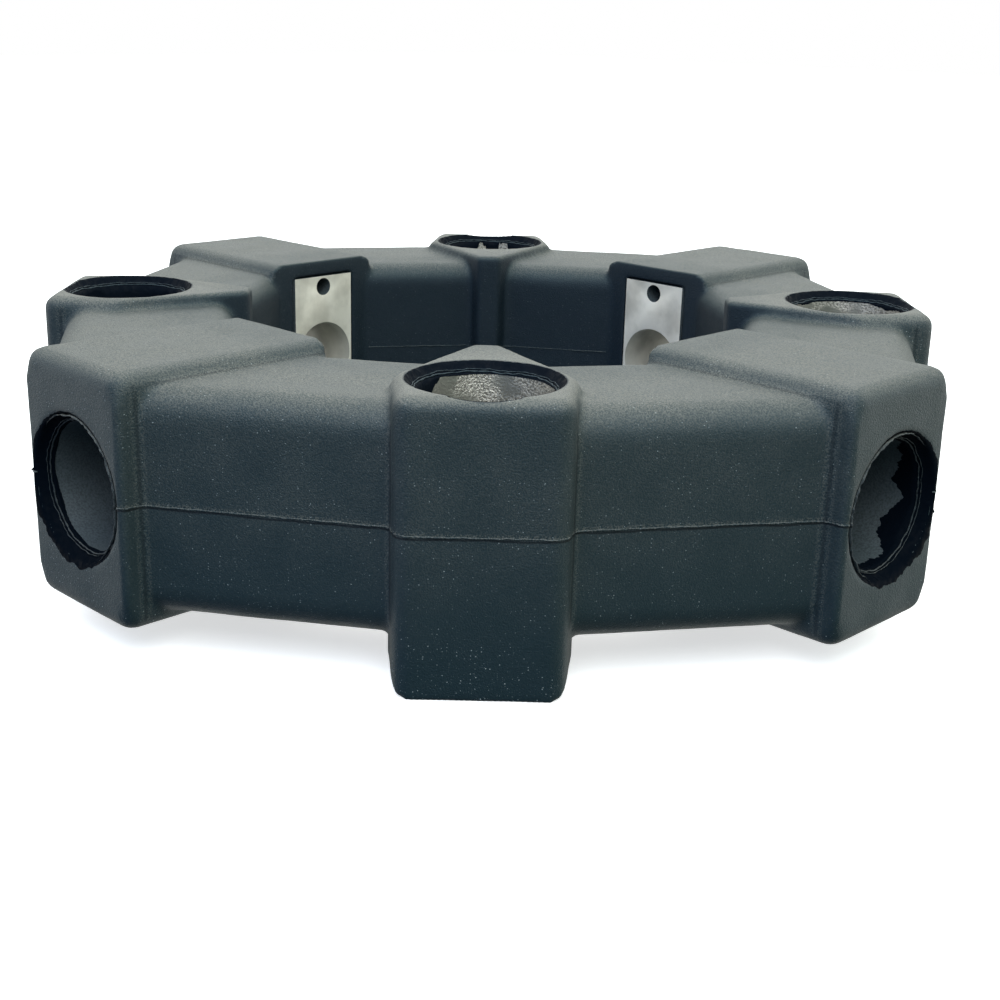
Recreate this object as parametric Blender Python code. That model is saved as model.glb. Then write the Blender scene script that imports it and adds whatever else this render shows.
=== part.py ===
"""Flexible engine coupling: a moulded rubber ring with cast metal inserts bonded in its lobes.

Four lobes take bolts that run along the coupling's axis, into a flange under the coupling. The
four between them take bolts that point at the axis, into the flats of a hub. Each lobe is built in
its own lobe frame, with X along the lobe, away from the coupling's axis, and is then turned about
the axis. The coupling stands on the undersides of its axial lobes, at Z = 0.
"""

import math

import bmesh
import bpy
from mathutils import Vector

MM = 0.001

# The bolts, which every other size is built around.
BORE_RADIUS = 8.5 * MM  # clears an M16 bolt
HEAD_RADIUS = 12.5 * MM  # clears the head of an M16 socket screw
BOLT_CIRCLE_RADIUS = 82.5 * MM  # of the axial bolts
PIN_RADIUS = 2.2 * MM  # the small locating hole beside each bore
PIN_OFFSET = 17.8 * MM  # from a bolt's centre line
PIN_DEPTH = 12.0 * MM

# The hub side: the lobes whose bolts point at the axis.
HUB_FLAT = 60.0 * MM  # from the axis to the face that seats on the hub
RADIAL_LENGTH = 47.6 * MM
RADIAL_HEIGHT = 49.2 * MM
RADIAL_EDGE = 3.5 * MM  # rounding along the lobe
RADIAL_FACE_EDGE = 3.2 * MM  # rounding round the outer face
RADIAL_SEAT = 20.0 * MM  # metal under the screw's head
RADIAL_SKIN = 3.1 * MM  # rubber over the insert's outer end
RADIAL_FLARE = 1.9 * MM  # how much wider the rubber hole is at its rim
RADIAL_COVER = 2.6 * MM  # rubber beside the insert
PLATE_MARGIN = 0.6 * MM  # metal beside the bore, on the bare plate
PLATE_HALF_HEIGHT = 20.5 * MM
PLATE_SPREAD = 18.0 * MM  # length over which the insert widens
INSERT_WALL = 1.2 * MM  # metal beside the head's hole
INSERT_CORNER = 1.5 * MM
PLATE_CORNER = 0.2 * MM

# The flange side: the lobes whose bolts run along the axis.
HEIGHT = 55.4 * MM
AXIAL_OVERHANG = 15.65 * MM  # from the bolt circle to the outer face
AXIAL_WALL = 2.95 * MM  # rubber beside the rim of the hole
AXIAL_TAPER = math.radians(7.0)
AXIAL_SLANT = math.radians(27.7)
AXIAL_SLANT_WALL = 1.4 * MM  # rubber between the rim and a slanted side
AXIAL_TIP_HALF_WIDTH = 2.85 * MM
AXIAL_CORNER = 3.4 * MM
AXIAL_SHOULDER = 5.0 * MM  # corner radius where a side turns into its slanted part
AXIAL_TIP_CORNER = 0.9 * MM
AXIAL_EDGE = 3.0 * MM  # rounding of the top edge, outside
AXIAL_TIP_EDGE = 1.1 * MM  # rounding of the top edge along the thin slanted walls
AXIAL_SKIN = 2.3 * MM
AXIAL_FLARE = 1.75 * MM
AXIAL_SEAT = 30.0 * MM
AXIAL_FRONT_COVER = 2.6 * MM  # rubber over the insert's front
AXIAL_SIDE_COVER = 2.2 * MM
AXIAL_SLANT_COVER = 1.5 * MM
AXIAL_TIP_COVER = 3.4 * MM

# The webs between the lobes.
TOP_STEP = 2.7 * MM  # from a lobe's top down to a web
WEB_HEIGHT = 43.8 * MM
WEB_OUTSIDE_AT_AXIAL = 4.9 * MM  # how far an axial lobe stands out of the web
WEB_OUTSIDE_AT_RADIAL = 4.3 * MM
WEB_INSIDE_AT_AXIAL = 3.3 * MM  # how far the tip stands in front of the web
WEB_INSIDE_AT_RADIAL = 13.9 * MM  # half the width of the face that shows between two webs
WEB_OUTER_EDGE = 6.0 * MM
WEB_INNER_EDGE = 5.0 * MM
OUTER_FILLET = 2.2 * MM
INNER_FILLET = 2.0 * MM

# From the metal out to the rim: the share of a hole's widening, and of the rubber skin's depth.
FLARE_SHAPE = ((0.0, 0.9), (0.5, 0.7), (0.8, 0.35), (1.0, 0.0))

# Clearances and overlaps between solids.
BOND_GAP = 0.3 * MM  # between the rubber and an insert
LIP = 0.2 * MM  # the rubber hole stays this much wider than the metal one
BITE = 0.3 * MM  # how far a web's fillet runs into a lobe's side
REACH_PAST = 5.0 * MM  # how far a cutter runs past a face
WEB_BURIED = 3.0 * MM  # how deep the ring of webs runs inside the lobes, from their inner faces
INNER_FILLET_SHOWN = 0.72  # the share of the inner fillet's arc that stands out of the lobe
SMALLEST_CORNER = 0.2 * MM

# What follows from the sizes above.
MID_HEIGHT = HEIGHT - RADIAL_HEIGHT / 2
RADIAL_REACH = HUB_FLAT + RADIAL_LENGTH
AXIAL_REACH = BOLT_CIRCLE_RADIUS + AXIAL_OVERHANG
INSERT_HALF_WIDTH = HEAD_RADIUS + INSERT_WALL
AXIAL_COVERS = {
    "front": AXIAL_FRONT_COVER,
    "side": AXIAL_SIDE_COVER,
    "slant": AXIAL_SLANT_COVER,
    "tip": AXIAL_TIP_COVER,
}
RADIAL_HALF_WIDTH = INSERT_HALF_WIDTH + RADIAL_COVER
WEB_MID_HEIGHT = HEIGHT - TOP_STEP - WEB_HEIGHT / 2

ARC_STEPS = 4
ROUND_STEPS = 5
BIG_CIRCLE_STEPS = 48
BORE_STEPS = 36
PIN_STEPS = 16
SHARP = math.radians(32)  # a sharper edge than this is shaded as an edge

LOBES_OF_A_KIND = 4
QUARTER = 2 * math.pi / LOBES_OF_A_KIND
RADIAL_TURNS = [QUARTER * i for i in range(LOBES_OF_A_KIND)]
AXIAL_TURNS = [turn + QUARTER / 2 for turn in RADIAL_TURNS]


def clear_scene():
    """Removes every object of the scene that Blender starts with."""
    for obj in list(bpy.data.objects):
        bpy.data.objects.remove(obj)


def linear(hex_colour):
    """The linear red, green, blue and alpha of an sRGB colour such as "#2b3538"."""
    channels = [int(hex_colour[i : i + 2], 16) / 255 for i in (1, 3, 5)]
    return [c / 12.92 if c <= 0.04045 else ((c + 0.055) / 1.055) ** 2.4 for c in channels] + [1.0]


def principled(name, hex_colour, roughness, metallic):
    """A plain Principled material."""
    material = bpy.data.materials.new(name)
    material.use_nodes = True
    shader = material.node_tree.nodes["Principled BSDF"]
    shader.inputs["Base Color"].default_value = linear(hex_colour)
    shader.inputs["Roughness"].default_value = roughness
    shader.inputs["Metallic"].default_value = metallic
    return material


def turned_point(point, turn):
    """A point of the plane turned about the origin."""
    return Vector(
        (
            point.x * math.cos(turn) - point.y * math.sin(turn),
            point.x * math.sin(turn) + point.y * math.cos(turn),
        )
    )


def flipped(point):
    """The mirror image of a point in the X axis."""
    return Vector((point.x, -point.y))


def meet(point, along, other_point, other_along):
    """Where two straight lines of the plane cross, each given by a point and a direction."""
    across = along.x * other_along.y - along.y * other_along.x
    apart = other_point - point
    return point + along * ((apart.x * other_along.y - apart.y * other_along.x) / across)


def inset(corners, depths):
    """The corners of an outline whose sides have moved in, each by its own depth.

    A corner is (position, radius), and side i runs from corner i to the next one, anticlockwise.
    """
    sides = []
    for i, (start, _) in enumerate(corners):
        along = (corners[(i + 1) % len(corners)][0] - start).normalized()
        inwards = Vector((-along.y, along.x))
        sides.append((start + inwards * depths[i], along))
    moved = []
    for i, (_, radius) in enumerate(corners):
        depth = (depths[i - 1] + depths[i]) / 2
        moved.append((meet(*sides[i - 1], *sides[i]), max(radius - depth, SMALLEST_CORNER)))
    return moved


def outline(corners):
    """The points of a closed outline with an arc at every corner."""
    points = []
    for i, (corner, radius) in enumerate(corners):
        back = (corners[i - 1][0] - corner).normalized()
        ahead = (corners[(i + 1) % len(corners)][0] - corner).normalized()
        points += [point for point, _ in fillet(corner, back, ahead, radius)]
    return points


def fillet(corner, back, ahead, radius, shown=1.0):
    """The arc that rounds a corner, or its first share, as (point, direction to its centre)."""
    half = back.angle(ahead) / 2
    bisector = (back + ahead).normalized()
    centre = corner + bisector * (radius / math.sin(half))
    first = (corner + back * (radius / math.tan(half)) - centre).normalized()
    sweep = first.angle_signed((corner + ahead * (radius / math.tan(half)) - centre).normalized())
    arc = []
    for step in range(ARC_STEPS + 1):
        spoke = turned_point(first, -sweep * shown * step / ARC_STEPS)
        arc.append((centre + spoke * radius, -spoke))
    return arc


def loft(name, rings, closed=False):
    """A mesh through a stack of rings of points, with a cap on each end or joined end to end."""
    shape = bmesh.new()
    grid = [[shape.verts.new(point) for point in ring] for ring in rings]
    following = grid[1:] + grid[:1] if closed else grid[1:]
    for ring, next_ring in zip(grid, following):
        for i in range(len(ring)):
            shape.faces.new((ring[i - 1], ring[i], next_ring[i], next_ring[i - 1]))
    if not closed:
        shape.faces.new(grid[0])
        shape.faces.new(grid[-1])
    bmesh.ops.recalc_face_normals(shape, faces=shape.faces)
    mesh = bpy.data.meshes.new(name)
    shape.to_mesh(mesh)
    shape.free()
    return mesh


def circle(radius, count):
    """The points of a circle of the plane."""
    turns = [2 * math.pi * i / count for i in range(count)]
    return [Vector((radius * math.cos(turn), radius * math.sin(turn))) for turn in turns]


def upright(points, height):
    """Plan points at one height."""
    return [Vector((point.x, point.y, height)) for point in points]


def crosswise(points, distance):
    """Points of a lobe's cross-section, as (sideways, up from its bolt), set along the lobe."""
    return [Vector((distance, point.x, MID_HEIGHT + point.y)) for point in points]


def add_object(name, mesh, turn=0.0):
    """An object of the mesh, turned about the coupling's axis."""
    obj = bpy.data.objects.new(name, mesh)
    obj.rotation_euler.z = turn
    bpy.context.scene.collection.objects.link(obj)
    return obj


def helper_group(name, pieces):
    """A collection of cutters or blanks, which render as nothing. Each piece is (mesh, turn)."""
    group = bpy.data.collections.new(name)
    bpy.context.scene.collection.children.link(group)
    for i, (mesh, turn) in enumerate(pieces, 1):
        obj = bpy.data.objects.new(f"{name}_{i}", mesh)
        obj.rotation_euler.z = turn
        obj.hide_render = True
        obj.display_type = "WIRE"
        group.objects.link(obj)
    return group


def around_axis(name, radial, axial):
    """A helper collection with one mesh at every radial lobe and the other at every axial lobe."""
    pieces = [(radial, turn) for turn in RADIAL_TURNS] + [(axial, turn) for turn in AXIAL_TURNS]
    return helper_group(name, pieces)


def combine(obj, operation, group):
    """A Boolean of the object with every solid of a collection."""
    modifier = obj.modifiers.new(group.name, "BOOLEAN")
    modifier.operation = operation
    modifier.operand_type = "COLLECTION"
    modifier.collection = group
    modifier.solver = "EXACT"


def smooth(mesh):
    """Smooth shading, with the real edges kept sharp."""
    mesh.shade_smooth()
    mesh.set_sharp_from_angle(angle=SHARP)


def edge_rounding(radius, depth):
    """How far a rounded edge has moved in, at this depth below its face."""
    if depth >= radius:
        return 0.0
    return radius - math.sqrt(radius**2 - (radius - depth) ** 2)


def rounding_depths(radius):
    """The depths at which a rounded edge has its rings, deepest first."""
    steps = [math.pi / 2 * (1 - step / ROUND_STEPS) for step in range(ROUND_STEPS + 1)]
    return [radius * (1 - math.cos(angle)) for angle in steps]


def axial_plan():
    """The axial lobe's plan, as corners and the kind of each side, a key of AXIAL_COVERS."""
    bolt = Vector((BOLT_CIRCLE_RADIUS, 0.0))
    side_along = Vector((-math.cos(AXIAL_TAPER), math.sin(AXIAL_TAPER)))
    rim = HEAD_RADIUS + AXIAL_FLARE
    side_point = bolt + Vector((0.0, (rim + AXIAL_WALL) / math.cos(AXIAL_TAPER)))
    slant_along = Vector((math.cos(AXIAL_SLANT), math.sin(AXIAL_SLANT)))
    slant_out = Vector((-slant_along.y, slant_along.x))
    slant_point = bolt + slant_out * (rim + AXIAL_SLANT_WALL)
    front = meet(side_point, side_along, Vector((AXIAL_REACH, 0.0)), Vector((0.0, 1.0)))
    shoulder = meet(side_point, side_along, slant_point, slant_along)
    tip = meet(slant_point, slant_along, Vector((0.0, AXIAL_TIP_HALF_WIDTH)), Vector((1.0, 0.0)))
    half = [
        (front, AXIAL_CORNER),
        (shoulder, AXIAL_SHOULDER),
        (tip, AXIAL_TIP_CORNER),
    ]
    corners = half + [(flipped(corner), radius) for corner, radius in reversed(half)]
    return corners, ("side", "slant", "tip", "slant", "side", "front")


def axial_blank():
    """The axial lobe as a solid block of rubber, rounded along its top edge."""
    corners, kinds = axial_plan()
    edges = [AXIAL_TIP_EDGE if kind in ("slant", "tip") else AXIAL_EDGE for kind in kinds]
    rings = [upright(outline(corners), 0.0)]
    for depth in rounding_depths(AXIAL_EDGE):
        insets = [edge_rounding(edge, depth) for edge in edges]
        rings.append(upright(outline(inset(corners, insets)), HEIGHT - depth))
    return loft("axial_blank", rings)


def axial_metal(name, gap, below):
    """The axial insert's block, or with a gap its pocket, from this far below the underside."""
    corners, kinds = axial_plan()
    depths = [AXIAL_COVERS[kind] - gap for kind in kinds]
    plan = outline(inset(corners, depths))
    top = HEIGHT - AXIAL_SKIN - BOND_GAP + gap
    return loft(name, [upright(plan, -below), upright(plan, top)])


def radial_section():
    """The radial lobe's cross-section, as corners about its bolt."""
    half_height = RADIAL_HEIGHT / 2
    signs = ((1, -1), (1, 1), (-1, 1), (-1, -1))
    return [(Vector((RADIAL_HALF_WIDTH * x, half_height * y)), RADIAL_EDGE) for x, y in signs]


def radial_blank():
    """The radial lobe as a solid block of rubber, rounded along it and round its outer face."""
    corners = radial_section()
    rings = [crosswise(outline(corners), HUB_FLAT)]
    for depth in rounding_depths(RADIAL_FACE_EDGE):
        insets = [edge_rounding(RADIAL_FACE_EDGE, depth)] * len(corners)
        rings.append(crosswise(outline(inset(corners, insets)), RADIAL_REACH - depth))
    return loft("radial_blank", rings)


def radial_metal(name, gap, below):
    """The radial insert's block, or with a gap its pocket, from this far inside the hub's face.

    Its plan is a keystone, narrow where it seats on the hub, and its top and bottom are flat.
    """
    plate = BORE_RADIUS + PLATE_MARGIN
    end = RADIAL_REACH - RADIAL_SKIN - BOND_GAP
    half = [
        (Vector((end, INSERT_HALF_WIDTH)), INSERT_CORNER),
        (Vector((HUB_FLAT + PLATE_SPREAD, INSERT_HALF_WIDTH)), INSERT_CORNER),
        (Vector((HUB_FLAT, plate)), PLATE_CORNER),
    ]
    corners = half + [(flipped(corner), radius) for corner, radius in reversed(half)]
    depths = [-gap, -gap, -below, -gap, -gap, -gap]
    plan = outline(inset(corners, depths))
    half_height = PLATE_HALF_HEIGHT + gap
    return loft(name, [upright(plan, MID_HEIGHT + half_height * side) for side in (-1, 1)])


def turned_cutter(name, profile, count, sideways):
    """A turned cutter. Its profile is (radius, distance), along the lobe or upwards."""
    rings = []
    for radius, distance in profile:
        points = circle(radius, count)
        if sideways:
            rings.append(crosswise(points, distance))
        else:
            at_bolt = [point + Vector((BOLT_CIRCLE_RADIUS, 0.0)) for point in points]
            rings.append(upright(at_bolt, distance))
    return loft(name, rings)


def flare(name, face, skin, widening, sideways):
    """The cutter for the hole in the rubber skin, which narrows from its rim to the metal."""
    rim = HEAD_RADIUS + widening
    neck = HEAD_RADIUS + LIP
    slope = [(neck + (rim - neck) * wide, face - skin * deep) for wide, deep in FLARE_SHAPE]
    profile = [(neck, face - skin - BOND_GAP / 2), *slope, (rim, face + REACH_PAST)]
    return turned_cutter(name, profile, BIG_CIRCLE_STEPS, sideways)


def drilled(blank, face, seat, end, sideways):
    """An insert's finished mesh: its block with the bore, the seat of the head and the pin hole."""
    obj = add_object(f"{blank.name}_blank", blank)
    bore = [(BORE_RADIUS, face - REACH_PAST), (BORE_RADIUS, end + REACH_PAST)]
    head = [(HEAD_RADIUS, face + seat), (HEAD_RADIUS, end + REACH_PAST)]
    cutters = [
        turned_cutter(f"{blank.name}_bore", bore, BORE_STEPS, sideways),
        turned_cutter(f"{blank.name}_head", head, BIG_CIRCLE_STEPS, sideways),
        pin_cutter(f"{blank.name}_pin", face, sideways),
    ]
    for cutter in cutters:
        combine(obj, "DIFFERENCE", helper_group(f"{cutter.name}_cut", [(cutter, 0.0)]))
    graph = bpy.context.evaluated_depsgraph_get()
    mesh = bpy.data.meshes.new_from_object(obj.evaluated_get(graph))
    bpy.data.objects.remove(obj)
    for cutter in cutters:
        bpy.data.collections.remove(bpy.data.collections[f"{cutter.name}_cut"])
    name = blank.name
    blank.name = f"{name}_blank"
    mesh.name = name
    smooth(mesh)
    return mesh


def pin_cutter(name, face, sideways):
    """The cutter for the blind locating hole, which opens in an insert's bare face."""
    distances = (face - REACH_PAST, face + PIN_DEPTH)
    if sideways:
        up = Vector((0.0, PIN_OFFSET))
        points = [point + up for point in circle(PIN_RADIUS, PIN_STEPS)]
        return loft(name, [crosswise(points, distance) for distance in distances])
    centre = Vector((BOLT_CIRCLE_RADIUS - PIN_OFFSET, 0.0))
    points = [point + centre for point in circle(PIN_RADIUS, PIN_STEPS)]
    return loft(name, [upright(points, distance) for distance in distances])


def web_bay():
    """The outside and inside of the web from a radial lobe on +X to the axial lobe next to it.

    Each is a list of (point, outward normal). They begin and end inside the lobes.
    """
    plan, _ = axial_plan()
    front, shoulder, tip = (corner for corner, _ in plan[:3])

    def face_of_lobe(start, end, distance):
        """Where a side of the axial lobe meets the web, and the side's direction there.

        The side runs between two corners, and the web crosses it at this distance from the axis.
        Both come in the radial lobe's frame, and the side lies BITE inside its true place.
        """
        along = (end - start).normalized()
        inwards = Vector((0.0, -BITE / abs(along.x)))
        crossing = meet(start + inwards, along, Vector((distance, 0.0)), Vector((0.0, 1.0)))
        return turned_point(flipped(crossing), QUARTER / 2), turned_point(flipped(along), QUARTER / 2)

    at_axial, side = face_of_lobe(shoulder, front, AXIAL_REACH - WEB_OUTSIDE_AT_AXIAL)
    at_radial = Vector((RADIAL_REACH - WEB_OUTSIDE_AT_RADIAL, RADIAL_HALF_WIDTH - BITE))
    across = (at_axial - at_radial).normalized()
    outside = fillet(at_radial, Vector((1.0, 0.0)), across, OUTER_FILLET)
    outside += fillet(at_axial, -across, side, OUTER_FILLET)

    at_axial, slant = face_of_lobe(shoulder, tip, tip.x + WEB_INSIDE_AT_AXIAL)
    at_radial = Vector((HUB_FLAT, WEB_INSIDE_AT_RADIAL))
    across = (at_axial - at_radial).normalized()
    normal = Vector((-across.y, across.x))
    buried = across * (-WEB_BURIED / ARC_STEPS)
    inside = [(at_radial + buried * step, normal) for step in range(ARC_STEPS, -1, -1)]
    inside += fillet(at_axial, -across, slant, INNER_FILLET, INNER_FILLET_SHOWN)
    return outside, inside


def web_loop(bay, at_radial, at_axial, facing):
    """One closed side of the ring of webs, as (point, outward normal).

    Between the bays it runs inside the lobes, at these distances from the axis. facing is 1 on the
    outside of the ring and -1 on its inside.
    """
    outwards = Vector((facing, 0.0))
    quarter = [(Vector((at_radial, 0.0)), outwards)] + bay
    axial = (Vector((at_axial, 0.0)), outwards)
    quarter.append(tuple(turned_point(vector, QUARTER / 2) for vector in axial))
    quarter += [tuple(turned_point(flipped(v), QUARTER) for v in pair) for pair in reversed(bay)]
    loop = []
    for turn in RADIAL_TURNS:
        loop += [tuple(turned_point(vector, turn) for vector in pair) for pair in quarter]
    return loop


def web_rows(loop, edge):
    """The rows of points up one side of the webs, whose lower and upper edges are rounded."""
    depths = rounding_depths(edge)
    half = WEB_HEIGHT / 2
    levels = [(depth, WEB_MID_HEIGHT - half + depth) for depth in reversed(depths)]
    levels += [(depth, WEB_MID_HEIGHT + half - depth) for depth in depths]
    rows = []
    for depth, height in levels:
        inwards = edge_rounding(edge, depth)
        rows.append(upright([point - normal * inwards for point, normal in loop], height))
    return rows


def web_ring():
    """The ring of webs, whose section has round edges and whose plan has fillets at the lobes."""
    outside, inside = web_bay()
    outer = web_loop(outside, RADIAL_REACH - RADIAL_SKIN, AXIAL_REACH - AXIAL_EDGE, 1.0)
    inner = web_loop(inside, HUB_FLAT + WEB_BURIED, HUB_FLAT + WEB_BURIED, -1.0)
    rows = web_rows(outer, WEB_OUTER_EDGE) + web_rows(inner, WEB_INNER_EDGE)[::-1]
    return loft("rubber_body", rows, closed=True)


def add_rubber(material):
    """The rubber moulding: the webs and lobes joined, less the inserts' pockets and the holes."""
    radial_hole = flare("radial_hole", RADIAL_REACH, RADIAL_SKIN, RADIAL_FLARE, True)
    axial_hole = flare("axial_hole", HEIGHT, AXIAL_SKIN, AXIAL_FLARE, False)
    radial_pocket = radial_metal("radial_pocket", BOND_GAP, REACH_PAST)
    axial_pocket = axial_metal("axial_pocket", BOND_GAP, REACH_PAST)
    mesh = web_ring()
    mesh.materials.append(material)
    smooth(mesh)
    body = add_object("rubber_body", mesh)
    combine(body, "UNION", around_axis("lobes", radial_blank(), axial_blank()))
    combine(body, "DIFFERENCE", around_axis("pockets", radial_pocket, axial_pocket))
    combine(body, "DIFFERENCE", around_axis("holes", radial_hole, axial_hole))


def add_inserts(material):
    """The metal inserts, four of each kind."""
    end = RADIAL_REACH - RADIAL_SKIN
    radial = drilled(radial_metal("radial_insert", 0.0, 0.0), HUB_FLAT, RADIAL_SEAT, end, True)
    axial = drilled(axial_metal("axial_insert", 0.0, 0.0), 0.0, AXIAL_SEAT, HEIGHT, False)
    for mesh, turns in ((radial, RADIAL_TURNS), (axial, AXIAL_TURNS)):
        mesh.materials.append(material)
        for i, turn in enumerate(turns, 1):
            add_object(f"{mesh.name}_{i}", mesh, turn)


def main():
    """Builds the coupling."""
    clear_scene()
    add_inserts(principled("cast_aluminium", "#b9bbb2", 0.45, 1.0))
    add_rubber(principled("moulded_rubber", "#2c3639", 0.8, 0.0))


if __name__ == "__main__":
    main()
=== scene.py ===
"""Dresses the flexible engine coupling: its rubber moulding, metal inserts, torn rims and studio.

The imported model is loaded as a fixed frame. Each visible piece is a finer version of a solid of
that frame, or a thin detail that sits on one, and everything rides on the body "root". Lengths are
in metres, and a named size is written in millimetres times MM.
"""

import logging
import math
from dataclasses import dataclass
from enum import Enum
from typing import ClassVar

import bmesh
import bpy
import numpy as np
from mathutils import Matrix, Vector, noise

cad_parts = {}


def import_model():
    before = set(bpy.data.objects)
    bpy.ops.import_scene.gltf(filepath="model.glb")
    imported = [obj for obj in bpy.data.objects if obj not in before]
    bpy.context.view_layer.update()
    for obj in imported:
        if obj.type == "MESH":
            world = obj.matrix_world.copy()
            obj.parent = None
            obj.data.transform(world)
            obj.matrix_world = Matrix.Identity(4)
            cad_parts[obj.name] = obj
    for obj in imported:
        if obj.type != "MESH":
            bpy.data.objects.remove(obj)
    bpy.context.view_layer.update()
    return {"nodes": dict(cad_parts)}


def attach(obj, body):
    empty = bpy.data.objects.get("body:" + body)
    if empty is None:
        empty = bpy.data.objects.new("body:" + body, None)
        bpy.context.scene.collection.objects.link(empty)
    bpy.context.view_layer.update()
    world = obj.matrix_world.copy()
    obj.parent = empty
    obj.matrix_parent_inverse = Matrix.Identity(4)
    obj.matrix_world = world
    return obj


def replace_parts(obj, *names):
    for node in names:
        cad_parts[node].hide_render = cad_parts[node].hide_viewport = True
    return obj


MM = 0.001
BODY = "root"
QUARTER = math.pi / 2
EIGHTH = QUARTER / 2
TINY = 1e-9  # keeps a division by a length finite
LOBES_OF_A_KIND = 4
NOISE = (0.3, 0.7)  # nearly all of a noise's values lie between these
RANGE = "ShaderNodeMapRange"
MATH = "ShaderNodeMath"
VECTORS = "ShaderNodeVectorMath"

log = logging.getLogger("coupling")


class Lobe(Enum):
    """The two kinds of lobe, named for the way their bolts run."""

    RADIAL = "radial"
    AXIAL = "axial"

    @property
    def turns(self) -> list[float]:
        """The angles about the coupling's axis at which this kind of lobe stands."""
        first = 0.0 if self is Lobe.RADIAL else EIGHTH
        return [first + QUARTER * i for i in range(LOBES_OF_A_KIND)]


@dataclass(frozen=True)
class CouplingSizes:
    """The sizes that several pieces share."""

    height: float = 55.4 * MM
    web_top: float = 52.7 * MM
    web_bottom: float = 8.9 * MM
    bolt_height: float = 30.8 * MM  # of the radial bolts, which is also the parting line's height
    bolt_circle: float = 82.5 * MM  # of the axial bolts
    bore: float = 8.5 * MM
    head: float = 12.5 * MM
    pin: float = 2.2 * MM
    pin_offset: float = 17.8 * MM
    pin_depth: float = 12.0 * MM
    hub_flat: float = 60.0 * MM
    radial_reach: float = 107.6 * MM
    radial_half_width: float = 16.3 * MM
    radial_skin: float = 3.1 * MM
    radial_rim: float = 14.4 * MM
    axial_skin: float = 2.3 * MM
    axial_rim: float = 14.25 * MM


SIZES = CouplingSizes()


@dataclass(frozen=True)
class Span:
    """A smooth change of a value while a reading, such as a height, goes from low to high."""

    low: float
    high: float
    at_low: float = 0.0
    at_high: float = 1.0

    @property
    def settings(self) -> dict:
        """What a Map Range node is set to for this change, with its inputs by number."""
        limits = enumerate((self.low, self.high, self.at_low, self.at_high), 1)
        return {"interpolation_type": "SMOOTHSTEP", **dict(limits)}


def linear(hex_colour: str) -> tuple[float, float, float, float]:
    """Turns an sRGB colour to the linear values that a shader takes.

    Args:
        hex_colour: A colour such as "#2b3538".

    Returns:
        Linear red, green and blue, with an alpha of 1.
    """
    channels = [int(hex_colour[i : i + 2], 16) / 255 for i in (1, 3, 5)]
    red, green, blue = (c / 12.92 if c <= 0.04045 else ((c + 0.055) / 1.055) ** 2.4 for c in channels)
    return red, green, blue, 1.0


def add_node(
    tree: bpy.types.NodeTree, kind: str, settings: dict | None = None, links: dict | None = None
) -> bpy.types.Node:
    """Adds a node to a shader tree, with its settings, socket values and incoming links.

    Args:
        tree: The tree to add to.
        kind: The node's bl_idname.
        settings: Attribute or input names and their values. An input is named as its socket, or
            given by its number where two share a name.
        links: Input names or numbers, and the output sockets that feed them.

    Returns:
        The new node.
    """
    node = tree.nodes.new(kind)
    for name, value in (settings or {}).items():
        if isinstance(name, str) and hasattr(node, name):
            setattr(node, name, value)
        else:
            node.inputs[name].default_value = value
    for name, socket in (links or {}).items():
        tree.links.new(socket, node.inputs[name])
    return node


def product(tree: bpy.types.NodeTree, shares: list) -> bpy.types.NodeSocket:
    """Multiplies several shares, one after the other.

    Args:
        tree: The shader tree.
        shares: Their output sockets.

    Returns:
        The output socket of the whole product.
    """
    result = shares[0]
    for share in shares[1:]:
        result = add_node(tree, MATH, {"operation": "MULTIPLY"}, {0: result, 1: share}).outputs[0]
    return result


def new_material(name: str) -> tuple[bpy.types.Material, bpy.types.NodeTree, bpy.types.Node]:
    """Starts a material, and returns it with its tree and its Principled shader."""
    material = bpy.data.materials.new(name)
    material.use_nodes = True
    tree = material.node_tree
    return material, tree, tree.nodes["Principled BSDF"]


@dataclass(frozen=True)
class SkinReadings:
    """The sockets that tell the rubber's shader where a point lies and how its patterns run there."""

    folded: bpy.types.NodeSocket  # the point's place, with X and Y taken without their signs
    place: bpy.types.NodeSocket
    height: bpy.types.NodeSocket
    up: bpy.types.NodeSocket  # 1 where the surface faces up
    from_axis: bpy.types.NodeSocket
    from_bolt: bpy.types.NodeSocket  # the distance from the nearest axial bolt's centre line
    grain: bpy.types.NodeSocket
    mottle: bpy.types.NodeSocket


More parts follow.
